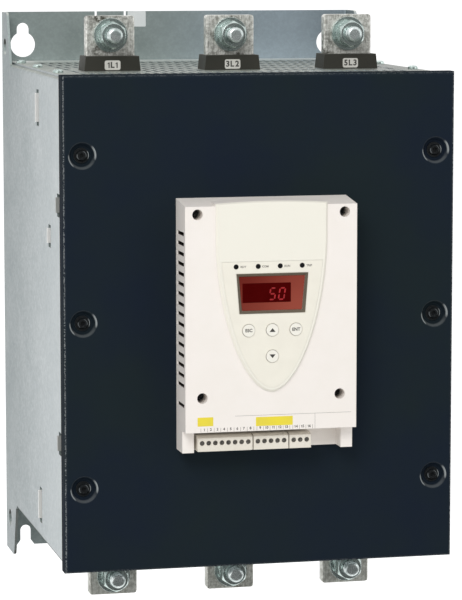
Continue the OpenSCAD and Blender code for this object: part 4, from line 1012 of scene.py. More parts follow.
class Look(Enum):
    """The finishes of this object, by what they are on."""

    GALVANISED = GalvanisedSteel("galvanised_sheet", (177, 185, 187), roughness=0.4, metallic=0.55)
    # inner sheets: painted shade on their tops, under the top plate, and a painted highlight on the tabs
    INNER_SHEET = GalvanisedSteel(
        "inner_sheet", (150, 156, 158), roughness=0.45, metallic=0.3, upper=(70, 73, 71),
        upper_dark=(58, 61, 59), tab_from=147.0 * MM)
    # bracket: a painted highlight on the tabs
    BRACKET = GalvanisedSteel(
        "bracket_sheet", (150, 156, 158), roughness=0.45, metallic=0.3, tab_highlight=(168, 170, 166),
        tab_from=147.0 * MM)
    PAINT = PowderCoat("cover_paint", (30, 39, 43), gloss=0.0, soft_edge=0.8 * MM)
    LINE_BAR = TinnedBar("tinned_line_bar", (186, 186, 178), roughness=0.28, soil=(0.46, 0.64))
    LOAD_BAR = TinnedBar(
        "tinned_load_bar", (172, 173, 164), roughness=0.32, bright=(216, 217, 210), stain=(98, 97, 89),
        soil=(0.48, 0.75))
    ZINC = PlatedMetal("zinc_plating", (206, 220, 216), roughness=0.19, metallic=0.92, soft_edge=0.4 * MM)
    THREAD = PlatedMetal(
        "thread_plating", (226, 234, 233), roughness=0.22, metallic=0.8, soft_edge=0.1 * MM,
        lines=(0.3, 1.0, 0.3))
    SLOTTED = PlatedMetal(
        "slotted_screw", (132, 128, 121), roughness=0.3, metallic=0.6, soft_edge=0.15 * MM,
        tarnish=(36, 33, 29), tarnish_scale=330.0, bright=(206, 204, 198))
    DARK_SCREW = PlatedMetal(
        "blackened_screw", (24, 26, 29), roughness=0.34, metallic=0.4, gloss=0.4, soft_edge=0.25 * MM,
        tarnish=(16, 17, 19), bright=(120, 126, 128))
    CUP_SCREW = CupScrew(
        "cover_screw", (26, 29, 31), roughness=0.4, metallic=0.2, gloss=0.2, soft_edge=0.25 * MM,
        tarnish=(17, 18, 20), bright=(60, 64, 66))
    COLLAR = MouldedPlastic(
        "collar_moulding", (46, 46, 40), gloss=0.25, soft_edge=0.5 * MM, second=(53, 52, 46),
        edge_tone=(86, 84, 76), grain=1800.0)
    LABEL = MouldedPlastic(
        "label_plastic", (212, 210, 204), roughness=0.45, soft_edge=0.2 * MM, second=(203, 201, 194),
        edge_tone=(230, 228, 222))
    CREAM = ModuleMoulding(
        "module_moulding", (244, 238, 232), soft_edge=0.6 * MM, second=(241, 235, 228))
    FILM = MouldedPlastic(
        "keypad_film", (237, 233, 220), roughness=0.42, soft_edge=0.18 * MM, second=(240, 236, 223),
        edge_tone=(200, 192, 181), grain=5200.0, grain_depth=0.008 * MM)
    KEY = MouldedPlastic(
        "key_film", (242, 239, 229), roughness=0.42, soft_edge=0.25 * MM, second=(239, 236, 225),
        edge_tone=(226, 221, 212), grain=5200.0, grain_depth=0.008 * MM)
    WINDOW = TintedWindow("window_filter", (152, 74, 60), roughness=0.1, gloss=0.15, soft_edge=0.2 * MM)
    WINDOW_FRAME = MouldedPlastic(
        "window_frame", (104, 95, 80), gloss=0.25, soft_edge=0.1 * MM, second=(92, 84, 71),
        edge_tone=(122, 113, 98))
    DISPLAY = MouldedPlastic(
        "display_face", (66, 1, 1), roughness=0.4, gloss=0.02, soft_edge=0.1 * MM, second=(72, 2, 2),
        edge_tone=(78, 4, 5), grain=4000.0, grain_depth=0.004 * MM)
    SEGMENT = GlowingSegments("display_segments", (126, 12, 18))
    LAMP = MouldedPlastic(
        "lamp_lens", (22, 22, 23), roughness=0.2, gloss=0.25, soft_edge=0.4 * MM, second=(28, 28, 29),
        edge_tone=(44, 44, 45), grain=3000.0, grain_depth=0.004 * MM)
    TERMINAL = MouldedPlastic(
        "terminal_moulding", (232, 226, 214), soft_edge=0.25 * MM, second=(225, 219, 206),
        edge_tone=(241, 237, 228), grain=3000.0)
    YELLOW = PrintInk(
        "yellow_print", (238, 220, 62), roughness=0.45, gloss=0.3, soft_edge=0.1 * MM, thin=(228, 210, 74))
    INK = PrintInk("dark_print", (66, 64, 62), thin=(84, 82, 79))
    PALE_INK = PrintInk("pale_print", (132, 128, 122), thin=(150, 146, 139))
    STICKER = PrintInk(
        "bare_sticker", (222, 226, 226), roughness=0.4, gloss=0.4, soft_edge=0.1 * MM, thin=(206, 211, 211))
    ALUMINIUM = PlatedMetal(
        "extruded_aluminium", (196, 199, 201), roughness=0.38, metallic=0.9, tarnish=(160, 163, 165),
        bright=(222, 224, 225), lines=(1.0, 1.0, 0.03))
    POWER_BLOCK = MouldedPlastic(
        "power_block", (74, 76, 80), roughness=0.55, soft_edge=0.5 * MM, second=(66, 68, 72),
        edge_tone=(104, 106, 110), grain=1500.0)
    POTTED = MouldedPlastic(
        "potted_core", (36, 48, 58), soft_edge=0.6 * MM, second=(30, 40, 50), edge_tone=(70, 82, 92),
        grain=1200.0)
    INSULATOR = MouldedPlastic(
        "red_insulator", (138, 59, 44), roughness=0.4, gloss=0.4, soft_edge=0.6 * MM, second=(122, 50, 38),
        edge_tone=(166, 86, 68), grain=1200.0)
    FAN = MouldedPlastic(
        "fan_moulding", (38, 40, 43), soft_edge=0.4 * MM, second=(32, 34, 37), edge_tone=(68, 70, 73),
        grain=1800.0)
    BOARD = CircuitBoard("green_board", (38, 92, 58), roughness=0.35)
    BRASS = PlatedMetal(
        "turned_brass", (201, 178, 102), roughness=0.3, metallic=1.0, tarnish=(150, 126, 66),
        bright=(236, 220, 160))


class Palette:
    """Builds each finish once and puts it on pieces."""

    def __init__(self) -> None:
        """Starts with no material built."""
        self.built: dict[Look, bpy.types.Material] = {}

    def put(self, piece: bpy.types.Object, look: Look) -> None:
        """Gives a piece one finish all over.

        Args:
            piece: The object to dress.
            look: Its finish.
        """
        if look not in self.built:
            self.built[look] = look.value.build()
        piece.data.materials.clear()
        piece.data.materials.append(self.built[look])


PALETTE = Palette()


def dress(look: Look, *nodes: str) -> None:
    """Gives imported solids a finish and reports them.

    Args:
        look: The finish.
        nodes: Names of the solids.
    """
    for node in nodes:
        PALETTE.put(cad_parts[node], look)
        log.info("dressed %s as %s", node, look.value.name)


# Skins worked out as arrays


@dataclass
class Skin:
    """Points of a mesh, and its faces as lists of point numbers."""

    points: np.ndarray
    faces: list[list[int]]

    def moved(self, offset: Sequence[float]) -> "Skin":
        """Returns the skin moved by an offset."""
        return Skin(self.points + np.asarray(offset), self.faces)


def joined(skins: Sequence[Skin]) -> Skin:
    """Puts several skins into one, with the later point numbers shifted.

    Args:
        skins: The skins.

    Returns:
        One skin with all their points and faces.
    """
    starts = np.cumsum([0] + [len(skin.points) for skin in skins[:-1]]).tolist()
    faces = [[start + index for index in face] for skin, start in zip(skins, starts) for face in skin.faces]
    return Skin(np.concatenate([skin.points for skin in skins]), faces)


def lattice(rings: np.ndarray, looped: bool = False) -> Skin:
    """Joins rings of points into a closed skin.

    Neighbouring points on neighbouring rings make four-sided faces, and each ring closes on itself.
    The first and last ring are covered by one flat face each, or joined to each other.

    Args:
        rings: Points as (ring, place on the ring, 3).
        looped: True where the last ring joins the first.

    Returns:
        The closed skin.
    """
    count, around = rings.shape[:2]
    ring = np.arange(count if looped else count - 1)[:, None]
    place = np.arange(around)[None, :]
    after = (place + 1) % around
    above = (ring + 1) % count
    corners = [ring * around + place, ring * around + after, above * around + after, above * around + place]
    faces = np.stack(np.broadcast_arrays(*corners), axis=-1).reshape(-1, 4).tolist()
    if not looped:
        faces.append(list(range(around))[::-1])
        faces.append(list(range((count - 1) * around, count * around)))
    return Skin(rings.reshape(-1, 3), faces)


def front_rings(outlines: Sequence[np.ndarray], depths: Sequence[float]) -> np.ndarray:
    """Sets outlines that are drawn in the front view at depths from the wall.

    Args:
        outlines: Outlines as (X, Z) points, with as many points each.
        depths: The depth of each.

    Returns:
        Rings of (X, Y, Z) points.
    """
    flat = np.stack(outlines)
    away = np.broadcast_to(-np.array(depths)[:, None], flat.shape[:2])
    return np.stack([flat[..., 0], away, flat[..., 1]], axis=-1)


def rounded_box(width: float, height: float, radius: float, steps: int = 6) -> np.ndarray:
    """Outline of a rectangle about the origin: four quarter circles, one round each corner.

    Args:
        width: Size along X.
        height: Size along Z.
        radius: Radius of the corners.
        steps: Points on each corner, less one.

    Returns:
        The outline as (X, Z) points.
    """
    turn = np.linspace(0.0, math.pi / 2, steps + 1)
    quarter = np.arange(4)[:, None] * math.pi / 2
    angle = (quarter + turn[None, :]).ravel()
    corner = np.repeat(np.array([[1, 1], [-1, 1], [-1, -1], [1, -1]]), steps + 1, axis=0)
    centre = corner * np.array([width / 2 - radius, height / 2 - radius])
    return centre + radius * np.column_stack([np.cos(angle), np.sin(angle)])


def plate(outline: np.ndarray, back: float, front: float, edge: float = 0.0) -> Skin:
    """Thin plate of an outline between two depths, with its front edge drawn in by edge.

    Args:
        outline: The plate's outline as (X, Z) points.
        back: Depth of its back.
        front: Depth of its front.
        edge: Width of the chamfer at the front.

    Returns:
        The closed skin.
    """
    middle = (outline.max(axis=0) + outline.min(axis=0)) / 2
    half = (outline.max(axis=0) - outline.min(axis=0)) / 2
    inner = middle + (outline - middle) * (1 - edge / half)
    return lattice(front_rings([outline, outline, inner], [back, front - edge, front]))


def ink(outline: np.ndarray) -> Skin:
    """Returns an outline as a layer of ink, half in front of Y = 0 and half behind it."""
    return plate(outline, -INK_HEIGHT / 2, INK_HEIGHT / 2)


def printed_line(start: Span, end: Span, width: float) -> Skin:
    """Line on the shell's face: a rectangle of the given width along the way from start to end.

    Args:
        start: One end as (X, Z).
        end: The other end.
        width: Width of the line.

    Returns:
        The closed skin.
    """
    first, last = np.array(start), np.array(end)
    along = (last - first) / np.linalg.norm(last - first)
    side = np.array([-along[1], along[0]]) * width / 2
    outline = np.array([first - side, last - side, last + side, first + side])
    return plate(outline, SHELL_FACE - PRINT_SINK, SHELL_FACE + LINE_RISE)


def lettering(text: str, height: float, weight: float) -> Skin:
    """Letters round the origin in the front view, drawn as outlines and given the ink's thickness.

    Args:
        text: The letters or numerals.
        height: Height of a capital.
        weight: How far the strokes are thickened, as a share of the height.

    Returns:
        The closed skin.
    """
    curve = bpy.data.curves.new("letters", "FONT")
    curve.body = text
    curve.align_x = "CENTER"
    curve.align_y = "CENTER"
    curve.size = height / CAP_SHARE
    curve.offset = weight * height
    curve.extrude = INK_HEIGHT / 2
    curve.resolution_u = 3
    holder = bpy.data.objects.new("letters", curve)
    bpy.context.scene.collection.objects.link(holder)
    mesh = bpy.data.meshes.new_from_object(holder.evaluated_get(bpy.context.evaluated_depsgraph_get()))
    mesh.calc_loop_triangles()
    flat = np.zeros(len(mesh.vertices) * 3)
    mesh.vertices.foreach_get("co", flat)
    corners = np.zeros(len(mesh.loop_triangles) * 3, dtype=np.int32)
    mesh.loop_triangles.foreach_get("vertices", corners)
    bpy.data.meshes.remove(mesh)
    bpy.data.objects.remove(holder)
    bpy.data.curves.remove(curve)
    across, up, out = flat.reshape(-1, 3).T
    return Skin(np.column_stack([across, -out, up]), corners.reshape(-1, 3).tolist())


def flagged_one(height: float) -> Skin:
    """Numeral one round the origin: an upright stem with a slanting flag at its top left.

    Args:
        height: Height of the numeral.

    Returns:
        The closed skin.
    """
    stem_right, stem_left, flag_left = 0.12, -0.09, -0.26
    corners = [
        (stem_right, -0.5), (stem_right, 0.5), (-0.04, 0.5), (flag_left, 0.34), (flag_left, 0.17),
        (stem_left, 0.28), (stem_left, -0.5),
    ]
    return ink(np.array(corners) * height)


def marking(text: str, height: float, weight: float) -> Skin:
    """Sets letters one after another, an even gap apart, with their middle at the origin.

    Args:
        text: The letters or numerals.
        height: Height of a capital.
        weight: How far the strokes are thickened, as a share of the height.

    Returns:
        One skin with all of them.
    """
    gap = LETTER_GAP * height
    pen = 0.0
    skins = []
    for letter in text:
        skin = flagged_one(height) if letter == "1" else lettering(letter, height, weight)
        left, right = skin.points[:, 0].min(), skin.points[:, 0].max()
        skins.append(skin.moved((pen - left, 0.0, 0.0)))
        pen += right - left + gap
    return joined(skins).moved(((gap - pen) / 2, 0.0, 0.0))


def add_piece(
    name: str, skin: Skin, look: Look, body: str = ENCLOSURE
) -> bpy.types.Object:
    """Makes a piece of a skin, with its faces turned outwards, and lets it ride on a body.

    Args:
        name: The piece's name.
        skin: Its points and faces, in the frame.
        look: Its finish.
        body: The body that it moves with.

    Returns:
        The new object.
    """
    mesh = bpy.data.meshes.new(name)
    mesh.from_pydata(skin.points.tolist(), [], skin.faces)
    mesh.validate()
    piece = bpy.data.objects.new(name, mesh)
    bpy.context.scene.collection.objects.link(piece)
    turn_outwards(mesh)
    PALETTE.put(piece, look)
    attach(piece, body)
    log.info("built %s with %d faces", name, len(mesh.polygons))
    return piece


def turn_outwards(mesh: bpy.types.Mesh) -> None:
    """Merges doubled points and turns each closed skin's faces outwards.

    Args:
        mesh: The mesh to mend.
    """
    shape = bmesh.new()
    shape.from_mesh(mesh)
    bmesh.ops.remove_doubles(shape, verts=shape.verts, dist=SAME_POINT)
    bmesh.ops.recalc_face_normals(shape, faces=shape.faces)
    shape.to_mesh(mesh)
    shape.free()


def middle_of(node: str) -> Vector:
    """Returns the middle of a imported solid's box."""
    low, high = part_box(node)
    return (low + high) / 2


def front_of(node: str) -> float:
    """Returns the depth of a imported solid's front from the wall."""
    return -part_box(node)[0].y


# Sub-assemblies


@dataclass
class Enclosure:
    """Folded chassis, perforated plates and painted cover, with the bare sticker on the back plate."""

    sticker_size: Span = (15.6 * MM, 13.2 * MM)
    sticker_centre: Span = (-35.2 * MM, 221.0 * MM)
    sticker_corner: float = 0.8 * MM
    sticker_rise: float = 0.12 * MM
    sticker_edge: float = 0.03 * MM
    sheet: float = 2.0 * MM

    def build(self) -> None:
        """Dresses the sheets and screws and lays the sticker on the back plate."""
        dress(Look.GALVANISED, "chassis", "top_plate", "bottom_plate")
        dress(Look.INNER_SHEET, "upper_strap", "lower_strap", "board_tray")
        dress(Look.BRACKET, "module_bracket")
        dress(Look.PAINT, "front_cover")
        dress(Look.CUP_SCREW, "cover_screws")
        dress(Look.ZINC, "plate_screws", "fan_screws")
        self.lay_sticker()

    def lay_sticker(self) -> None:
        """A bare white patch: a thin plate with small round corners on the back plate's face."""
        outline = rounded_box(*self.sticker_size, self.sticker_corner) + np.array(self.sticker_centre)
        skin = plate(outline, self.sheet - PRINT_SINK, self.sheet + self.sticker_rise, self.sticker_edge)
        add_piece("back_plate_sticker", skin, Look.STICKER)


@dataclass
class PowerTerminals:
    """Bars, collars, studs, nuts and washers of the six power terminals.

    The head's levels are shares of its height, and its cones are shares of half its flats.
    """

    thread_pitch: float = 1.75 * MM
    thread_depth: float = 0.55 * MM
    thread_flank: float = 1.4
    rows_per_turn: int = 7
    around: int = 48
    crest: float = 5.9 * MM
    tip: float = 1.5 * MM
    tip_rings: int = 6
    end_radius: float = 3.4 * MM
    head_flats: float = 19.0 * MM
    head_height: float = 7.5 * MM
    head_sink: float = 1.0 * MM
    head_levels: tuple[float, ...] = (0.0, 0.11, 0.19, 0.81, 0.92, 1.0)
    head_cones: tuple[float, ...] = (0.97, 1.1, 1.2, 1.2, 1.1, 0.97)
    label_half: float = 3.7 * MM
    marking_height: float = 4.3 * MM
    marking_weight: float = 0.05

    def build(self) -> None:
        """Dresses the bars and hardware, threads the studs and marks the labels."""
        for side, look in (("line", Look.LINE_BAR), ("load", Look.LOAD_BAR)):
            dress(look, *[f"{side}_bar_{phase}" for phase in PHASES])
            dress(Look.COLLAR, *[f"{side}_collar_{phase}" for phase in PHASES])
        dress(Look.LABEL, "terminal_labels")
        dress(Look.ZINC, "terminal_nuts", "spring_washers", "flat_washers", "terminal_studs")
        self.thread_studs()
        self.mark_labels()

    def stud_places(self) -> list[Span]:
        """Works the studs' places out from the bars' middles and the washers' row.

        Returns:
            The places as (X, Z).
        """
        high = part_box("flat_washers")[1]
        columns = [middle_of(f"line_bar_{phase}").x for phase in PHASES]
        row = high.z - (high.x - columns[-1])
        return [(x, z) for x in columns for z in (row, -row)]

    def turned(self, radius: np.ndarray, depth: np.ndarray) -> Skin:
        """Carries a radius that may change with the turn along the Y axis, ring by ring.

        Args:
            radius: The radius as (ring, turn).
            depth: The depth of each ring.

        Returns:
            The closed skin.
        """
        turn = self.turns()
        away = np.broadcast_to(-depth[:, None], radius.shape)
        return lattice(np.stack([radius * np.cos(turn), away, radius * np.sin(turn)], axis=-1))

    def turns(self) -> np.ndarray:
        """Returns the angles of the points round a ring."""
        return np.linspace(0.0, 2 * math.pi, self.around, endpoint=False)

    def shank(self, back: float, front: float) -> Skin:
        """Threaded shank on the Y axis.

        The radius is the crest's less the thread's depth times a triangle wave of the turns travelled
        less the turn round the axis, so that the crests climb as a screw does. The wave is cut to
        leave flat crests, and fades in the last turn. The tip runs in on an ellipse to a flat end.

        Args:
            back: Depth at which it starts, inside the head.
            front: Depth of the free end.

        Returns:
            The closed skin.
        """
        end = front - self.tip
        rows = int((end - back) / self.thread_pitch * self.rows_per_turn)
        depth = np.linspace(back, end, rows)
        phase = depth[:, None] / self.thread_pitch - self.turns()[None, :] / (2 * math.pi)
        wave = np.abs(2 * (phase % 1.0) - 1.0)
        groove = 1 - np.clip(self.thread_flank * wave, 0.0, 1.0)
        fade = np.clip((end - depth) / self.thread_pitch, 0.0, 1.0)[:, None]
        radius = self.crest - self.thread_depth * groove * fade
        sweep = np.linspace(0.0, math.pi / 2, self.tip_rings + 1)[1:]
        tip_depth = end + self.tip * np.sin(sweep)
        tip_radius = self.end_radius + (self.crest - self.end_radius) * np.cos(sweep)
        tips = np.repeat(tip_radius[:, None], self.around, axis=1)
        return self.turned(np.concatenate([radius, tips]), np.concatenate([depth, tip_depth]))

    def head(self, back: float) -> Skin:
        """Hexagon head on the Y axis.

        The radius is half the flats over the cosine of the angle from the nearest flat's middle, cut
        down by a cone at both ends.

        Args:
            back: Depth of the head's rear.

        Returns:
            The closed skin.
        """
        sector = math.pi / 3
        hexagon = self.head_flats / 2 / np.cos((self.turns() % sector) - sector / 2)
        cones = np.array(self.head_cones) * self.head_flats / 2
        levels = back + np.array(self.head_levels) * self.head_height
        return self.turned(np.minimum(hexagon[None, :], cones[:, None]), levels)

    def thread_studs(self) -> None:
        """Puts a threaded stud in each of the six places, where the plain studs are."""
        low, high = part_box("terminal_studs")
        front, back = -low.y, -high.y
        one = joined([self.shank(back + self.head_height - self.head_sink, front), self.head(back)])
        skin = joined([one.moved((x, 0.0, z)) for x, z in self.stud_places()])
        piece = add_piece("threaded_studs", skin, Look.THREAD)
        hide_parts("terminal_studs")

    def mark_labels(self) -> None:
        """Prints a phase name on each collar's label."""
        low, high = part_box("terminal_labels")
        rows = ((-1, "L", high.z - self.label_half), (0, "T", low.z + self.label_half))
        skins = []
        for phase in PHASES:
            x = middle_of(f"line_bar_{phase}").x
            for step, letter, z in rows:
                name = f"{2 * phase + step}{letter}{phase}"
                skins.append(marking(name, self.marking_height, self.marking_weight).moved((x, low.y, z)))
        add_piece("phase_markings", joined(skins), Look.INK)


# Strokes of a seven-segment numeral, between corners counted from its lower left, and the lit ones
STROKES = {
    "a": ((0, 2), (1, 2)), "b": ((1, 1), (1, 2)), "c": ((1, 0), (1, 1)), "d": ((0, 0), (1, 0)),
    "e": ((0, 0), (0, 1)), "f": ((0, 1), (0, 2)), "g": ((0, 1), (1, 1)),
}
LIT_STROKES = {"5": "afgcd", "0": "abcdef"}


@dataclass
class ControlModule:
    """Base, shell, film, window and display of the control module, with its print."""

    corner: float = 0.4 * MM
    corner_steps: int = 3
    field_low: Span = (-22.7 * MM, 18.9 * MM)
    field_high: Span = (14.5 * MM, 33.5 * MM)
    field_sink: float = 0.05 * MM
    field_rise: float = 0.06 * MM
    shown: str = "50"
    digit_size: Span = (4.1 * MM, 8.5 * MM)
    digit_starts: Span = (-2.3 * MM, 4.9 * MM)
    digit_low: float = 21.0 * MM
    digit_slant: float = 0.16
    stroke: float = 1.15 * MM
    stroke_gap: float = 0.35 * MM
    stroke_rise: Span = (0.03 * MM, 0.12 * MM)
    bevel: float = 2.0 * MM
    bevel_depth: float = 1.2 * MM
    bevel_rise: float = 0.05 * MM
    bevel_thickness: float = 0.1 * MM
    window_ends: Span = (40.8 * MM, 10.8 * MM)
    window_halves: Span = (27.5 * MM, 25.2 * MM)
    lamp_radius: float = 1.8 * MM
    lamp_words: tuple[str, ...] = ("RDY", "COM", "RUN", "TRIP")
    word_height: float = 1.5 * MM
    word_weight: float = 0.05
    word_offset: Span = (5.4 * MM, -0.2 * MM)
    yellow_fields: tuple[tuple[Span, Span], ...] = (
        ((-56.8 * MM, -44.8 * MM), (-73.3 * MM, -66.6 * MM)),
        ((-12.0 * MM, 16.5 * MM), (-74.6 * MM, -67.8 * MM)),
    )
    yellow_rise: float = 0.08 * MM
    yellow_edge: float = 0.02 * MM
    thin_lines: tuple[tuple[Span, Span], ...] = (
        ((-28.0 * MM, -66.4 * MM), (62.0 * MM, -66.4 * MM)),
        ((33.8 * MM, -66.4 * MM), (33.8 * MM, -78.0 * MM)),
    )
    thin_width: float = 0.22 * MM

    def build(self) -> None:
        """Dresses the mouldings, then builds the display and the print."""
        dress(Look.CREAM, "module_base", "module_shell")
        dress(Look.FILM, "keypad_film")
        dress(Look.WINDOW, "display_window")
        dress(Look.DISPLAY, "display_block")
        dress(Look.LAMP, "lamp_lenses")
        dress(Look.BOARD, "control_board", "gate_board")
        dress(Look.DARK_SCREW, "module_screws")
        self.build_display()
        self.frame_window()
        self.name_lamps()
        self.print_fields()
        self.print_lines()

    def small_box(self, low: Sequence[float], high: Sequence[float]) -> np.ndarray:
        """Returns the outline of a printed field between two corners, as (X, Z), slightly rounded."""
        centre = np.add(low, high) / 2
        return rounded_box(*np.subtract(high, low), self.corner, self.corner_steps) + centre

    def build_display(self) -> None:
        """Lays the dark field on the window, and the lit segments of two numerals on it."""
        face = front_of("display_window")
        outline = self.small_box(self.field_low, self.field_high)
        skin = plate(outline, face - self.field_sink, face + self.field_rise)
        add_piece("display_field", skin, Look.DISPLAY)
        depths = [face + rise for rise in self.stroke_rise]
        skins = []
        for start, digit in zip(self.digit_starts, self.shown):
            for letter in LIT_STROKES[digit]:
                outline = self.segment(letter, start)
                skins.append(lattice(front_rings([outline, outline], depths)))
        add_piece("display_segments", joined(skins), Look.SEGMENT)

    def segment(self, letter: str, start: float) -> np.ndarray:
        """One stroke of a seven-segment numeral, leaning to the right.

        A stroke is a six-sided bar with pointed ends between two corners of the numeral. X grows
        with the height by the slant.

        Args:
            letter: The stroke's usual letter, a to g.
            start: The numeral's left side.

        Returns:
            The stroke's outline as (X, Z) points.
        """
        wide, high = self.digit_size
        first, last = (np.array(corner) * np.array([wide, high / 2]) for corner in STROKES[letter])
        along = (last - first) / np.linalg.norm(last - first)
        side = np.array([-along[1], along[0]]) * self.stroke / 2
        taper = along * self.stroke / 2
        first, last = first + along * self.stroke_gap, last - along * self.stroke_gap
        near, far = first + taper, last - taper
        outline = np.array([first, near - side, far - side, last, far + side, near + side])
        outline[:, 0] += start + self.digit_slant * outline[:, 1]
        outline[:, 1] += self.digit_low
        return outline

    def frame_window(self) -> None:
        """Dark frame on the sloping sides of the window's opening.

        Four mitred corners carry a thin profile: outer edge at the tongue's face, inner edge at the
        window, and the same again just below, so that the ring is closed.
        """
        face = front_of("keypad_film") + self.bevel_rise
        (up, down), (top, foot) = self.window_ends, self.window_halves
        corners = np.array([[-top, up], [top, up], [foot, down], [-foot, down]])
        inner = corners + np.array([[1, -1], [-1, -1], [-1, 1], [1, 1]]) * self.bevel
        sunk, thick = face - self.bevel_depth, self.bevel_thickness
        rings = front_rings([corners, inner, inner, corners], [face, sunk, sunk - thick, face - thick])
        add_piece("window_frame", lattice(rings, looped=True), Look.WINDOW_FRAME)

    def name_lamps(self) -> None:
        """Prints a short word to the right of each lamp."""
        low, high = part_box("lamp_lenses")
        places = np.linspace(low.x + self.lamp_radius, high.x - self.lamp_radius, len(self.lamp_words))
        right, up = self.word_offset
        y, z = -front_of("keypad_film"), (low.z + high.z) / 2 + up
        skins = []
        for word, x in zip(self.lamp_words, places):
            skins.append(lettering(word, self.word_height, self.word_weight).moved((x + right, y, z)))
        add_piece("lamp_words", joined(skins), Look.PALE_INK)

    def print_fields(self) -> None:
        """Lays two bare yellow fields on the shell above the terminals."""
        back, front = SHELL_FACE - PRINT_SINK, SHELL_FACE + self.yellow_rise
        skins = []
        for (left, right), (low, high) in self.yellow_fields:
            skins.append(plate(self.small_box((left, low), (right, high)), back, front, self.yellow_edge))
        add_piece("yellow_fields", joined(skins), Look.YELLOW)

    def print_lines(self) -> None:
        """Prints thin lines above and between the fields."""
        skins = [printed_line(start, end, self.thin_width) for start, end in self.thin_lines]
        add_piece("printed_lines", joined(skins), Look.PALE_INK)


class KeyMark(Enum):
    """What is printed on each key: the key's body and its solid."""

    ESC = ("key_esc", "key_esc")
    UP = ("key_up", "key_up_arrow")
    ENT = ("key_enter", "key_enter")
    DOWN = ("key_down", "key_down_arrow")

    def __init__(self, body: str, node: str) -> None:
        """Keeps the names of the key's body and solid."""
        self.body = body
        self.node = node


@dataclass
class Keypad:
    """The four travelling keys with their legends."""

    word_height: float = 2.3 * MM
    word_weight: float = 0.045
    arrow_size: Span = (4.6 * MM, 2.9 * MM)

    def build(self) -> None:
        """Dresses the keys and prints their legends, which travel with them."""
        for mark in KeyMark:
            dress(Look.KEY, mark.node)
            middle = middle_of(mark.node)
            skin = self.legend(mark).moved((middle.x, -front_of(mark.node), middle.z))
            add_piece(f"{mark.body}_legend", skin, Look.INK, mark.body)

    def legend(self, mark: KeyMark) -> Skin:
        """Draws a word, or a triangle that points up or down.

        Args:
            mark: The key.

        Returns:
            The legend's skin, round the origin.
        """
        if mark in (KeyMark.ESC, KeyMark.ENT):
            return lettering(mark.name, self.word_height, self.word_weight)
        half, tall = self.arrow_size[0] / 2, self.arrow_size[1] / 2
        point = tall if mark is KeyMark.UP else -tall
        return ink(np.array([[-half, -point], [half, -point], [0.0, point]]))


@dataclass
class TerminalRow:
    """Plug-in terminal blocks, their screws, and the numerals printed above them."""

    numeral_height: float = 1.9 * MM
    numeral_weight: float = 0.04
    numeral_z: float = -76.0 * MM
    tick_low: float = -77.9 * MM
    tick_high: float = -74.9 * MM
    tick_width: float = 0.25 * MM
    pole_pitch: float = 5.08 * MM
    poles: tuple[int, ...] = (8, 5, 3)
    side_wall: float = 0.75 * MM

    def build(self) -> None:
        """Dresses the blocks and screws, and prints a numeral above each pole and ticks between them."""
        numerals, ticks = [], []
        for number, count in enumerate(self.poles, start=1):
            block = f"terminal_block_{number}"
            dress(Look.TERMINAL, block)
            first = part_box(block)[0].x + self.side_wall
            for x in first + np.arange(count + 1) * self.pole_pitch:
                ticks.append(printed_line((x, self.tick_low), (x, self.tick_high), self.tick_width))
            for x in first + self.pole_pitch / 2 + np.arange(count) * self.pole_pitch:
                numeral = marking(str(len(numerals) + 1), self.numeral_height, self.numeral_weight)
                numerals.append(numeral.moved((x, -SHELL_FACE, self.numeral_z)))
        dress(Look.SLOTTED, "block_screws")
        add_piece("pole_numerals", joined(numerals), Look.INK)
        add_piece("pole_ticks", joined(ticks), Look.PALE_INK)


@dataclass
class PowerStack:
    """What works inside: heat sink, thyristor blocks, transformers, fans and fittings."""

    fans: tuple[int, ...] = (1, 2)

    def build(self) -> None:
        """Dresses the inner pieces, which show through the vents and between the bars."""
        dress(Look.ALUMINIUM, "heat_sink")
        dress(Look.POWER_BLOCK, *[f"thyristor_{phase}" for phase in PHASES])
        dress(Look.POTTED, *[f"current_transformer_{phase}" for phase in PHASES])
        dress(Look.INSULATOR, "bar_insulators")
        dress(Look.ZINC, "bar_screws")
        dress(Look.FAN, *[f"fan_{piece}_{fan}" for piece in ("frame", "rotor") for fan in self.fans])
        dress(Look.BRASS, "board_standoffs")


# Studio


@dataclass(frozen=True)
class SoftLamp:
    """A square lamp: its name, place, width and power in watts."""

    name: str
    place: Triple
    width: float
    power: float


